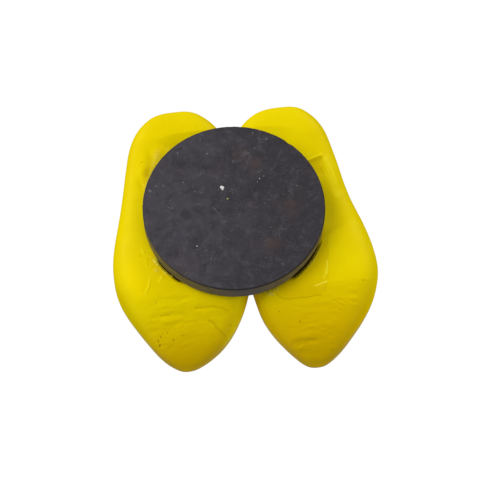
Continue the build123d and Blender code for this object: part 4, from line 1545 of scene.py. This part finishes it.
def soft_sun(name, tilt, turn, share, spread=30, glint=True):
    """A broad lamp: tilt from the magnet's axis, turn from +Z towards +X, in degrees."""
    tilt, turn = math.radians(tilt), math.radians(turn)
    way = Vector((math.sin(tilt) * math.sin(turn), math.cos(tilt),
                  math.sin(tilt) * math.cos(turn)))
    light = bpy.data.lights.new(name, "SUN")
    light.angle, light.energy = math.radians(spread), math.pi * share
    lamp = add_object(name, light)
    lamp.location = way * 0.5
    lamp.rotation_mode = "QUATERNION"
    lamp.rotation_quaternion = (-way).to_track_quat("-Z", "Y")
    lamp.visible_glossy = glint


# (name, tilt, turn, share of the light, seen in reflections); the camera sees +X on its left
LAMPS = [
    ("key_left_low", 32, 90, 0.247, True), ("key_left_high", 58, 90, 0.162, True),
    ("key_top_low", 32, 45, 0.094, True), ("key_top_high", 58, 45, 0.212, True),
    ("fill_right_low", 32, 225, 0.127, True), ("fill_top_right", 58, 315, 0.170, True),
    ("edge_right", 84, 270, 0.123, False), ("edge_below_right", 108, 225, 0.118, False),
]
CAMERA_PLACE = (0.0153069917, 0.2343196203, -0.1170701197)
CAMERA_RIGHT = Vector((-0.9908031706, 0.0085177453, -0.1350426786))
CAMERA_UP = Vector((-0.1186404768, 0.4252185243, 0.8972812513))


def add_camera():
    lens = bpy.data.cameras.new("photo_camera")
    lens.sensor_width, lens.lens = 36.0, 115.2
    lens.clip_start, lens.clip_end = 0.01, 20.0
    camera = add_object("photo_camera", lens)
    axes = (CAMERA_RIGHT, CAMERA_UP, CAMERA_RIGHT.cross(CAMERA_UP), CAMERA_PLACE)
    camera.matrix_world = Matrix((*zip(*axes), (0, 0, 0, 1)))
    scene.camera = camera


# ------------------------------------------------------------------ build
lacquer, ferrite, glue = lacquer_material(), ferrite_material(), glue_material()
clogs = {name: Clog(name) for name in OUTLINES}
trees = {name: clog_piece(clog, lacquer) for name, clog in clogs.items()}
disc_piece(ferrite)
for name, spec in GLUE.items():
    glue_piece(name, spec, clogs[spec["clog"]], trees[spec["clog"]], glue)
joint_glue_piece(glue)

stage_floor()
white_world()
for name, tilt, turn, share, glint in LAMPS:
    soft_sun(name, tilt, turn, share, glint=glint)
soft_sun("fill_open_side", tilt=160, turn=-35, share=0.42, spread=60, glint=False)
scene.view_settings.view_transform = "Standard"
scene.view_settings.look = "None"
add_camera()
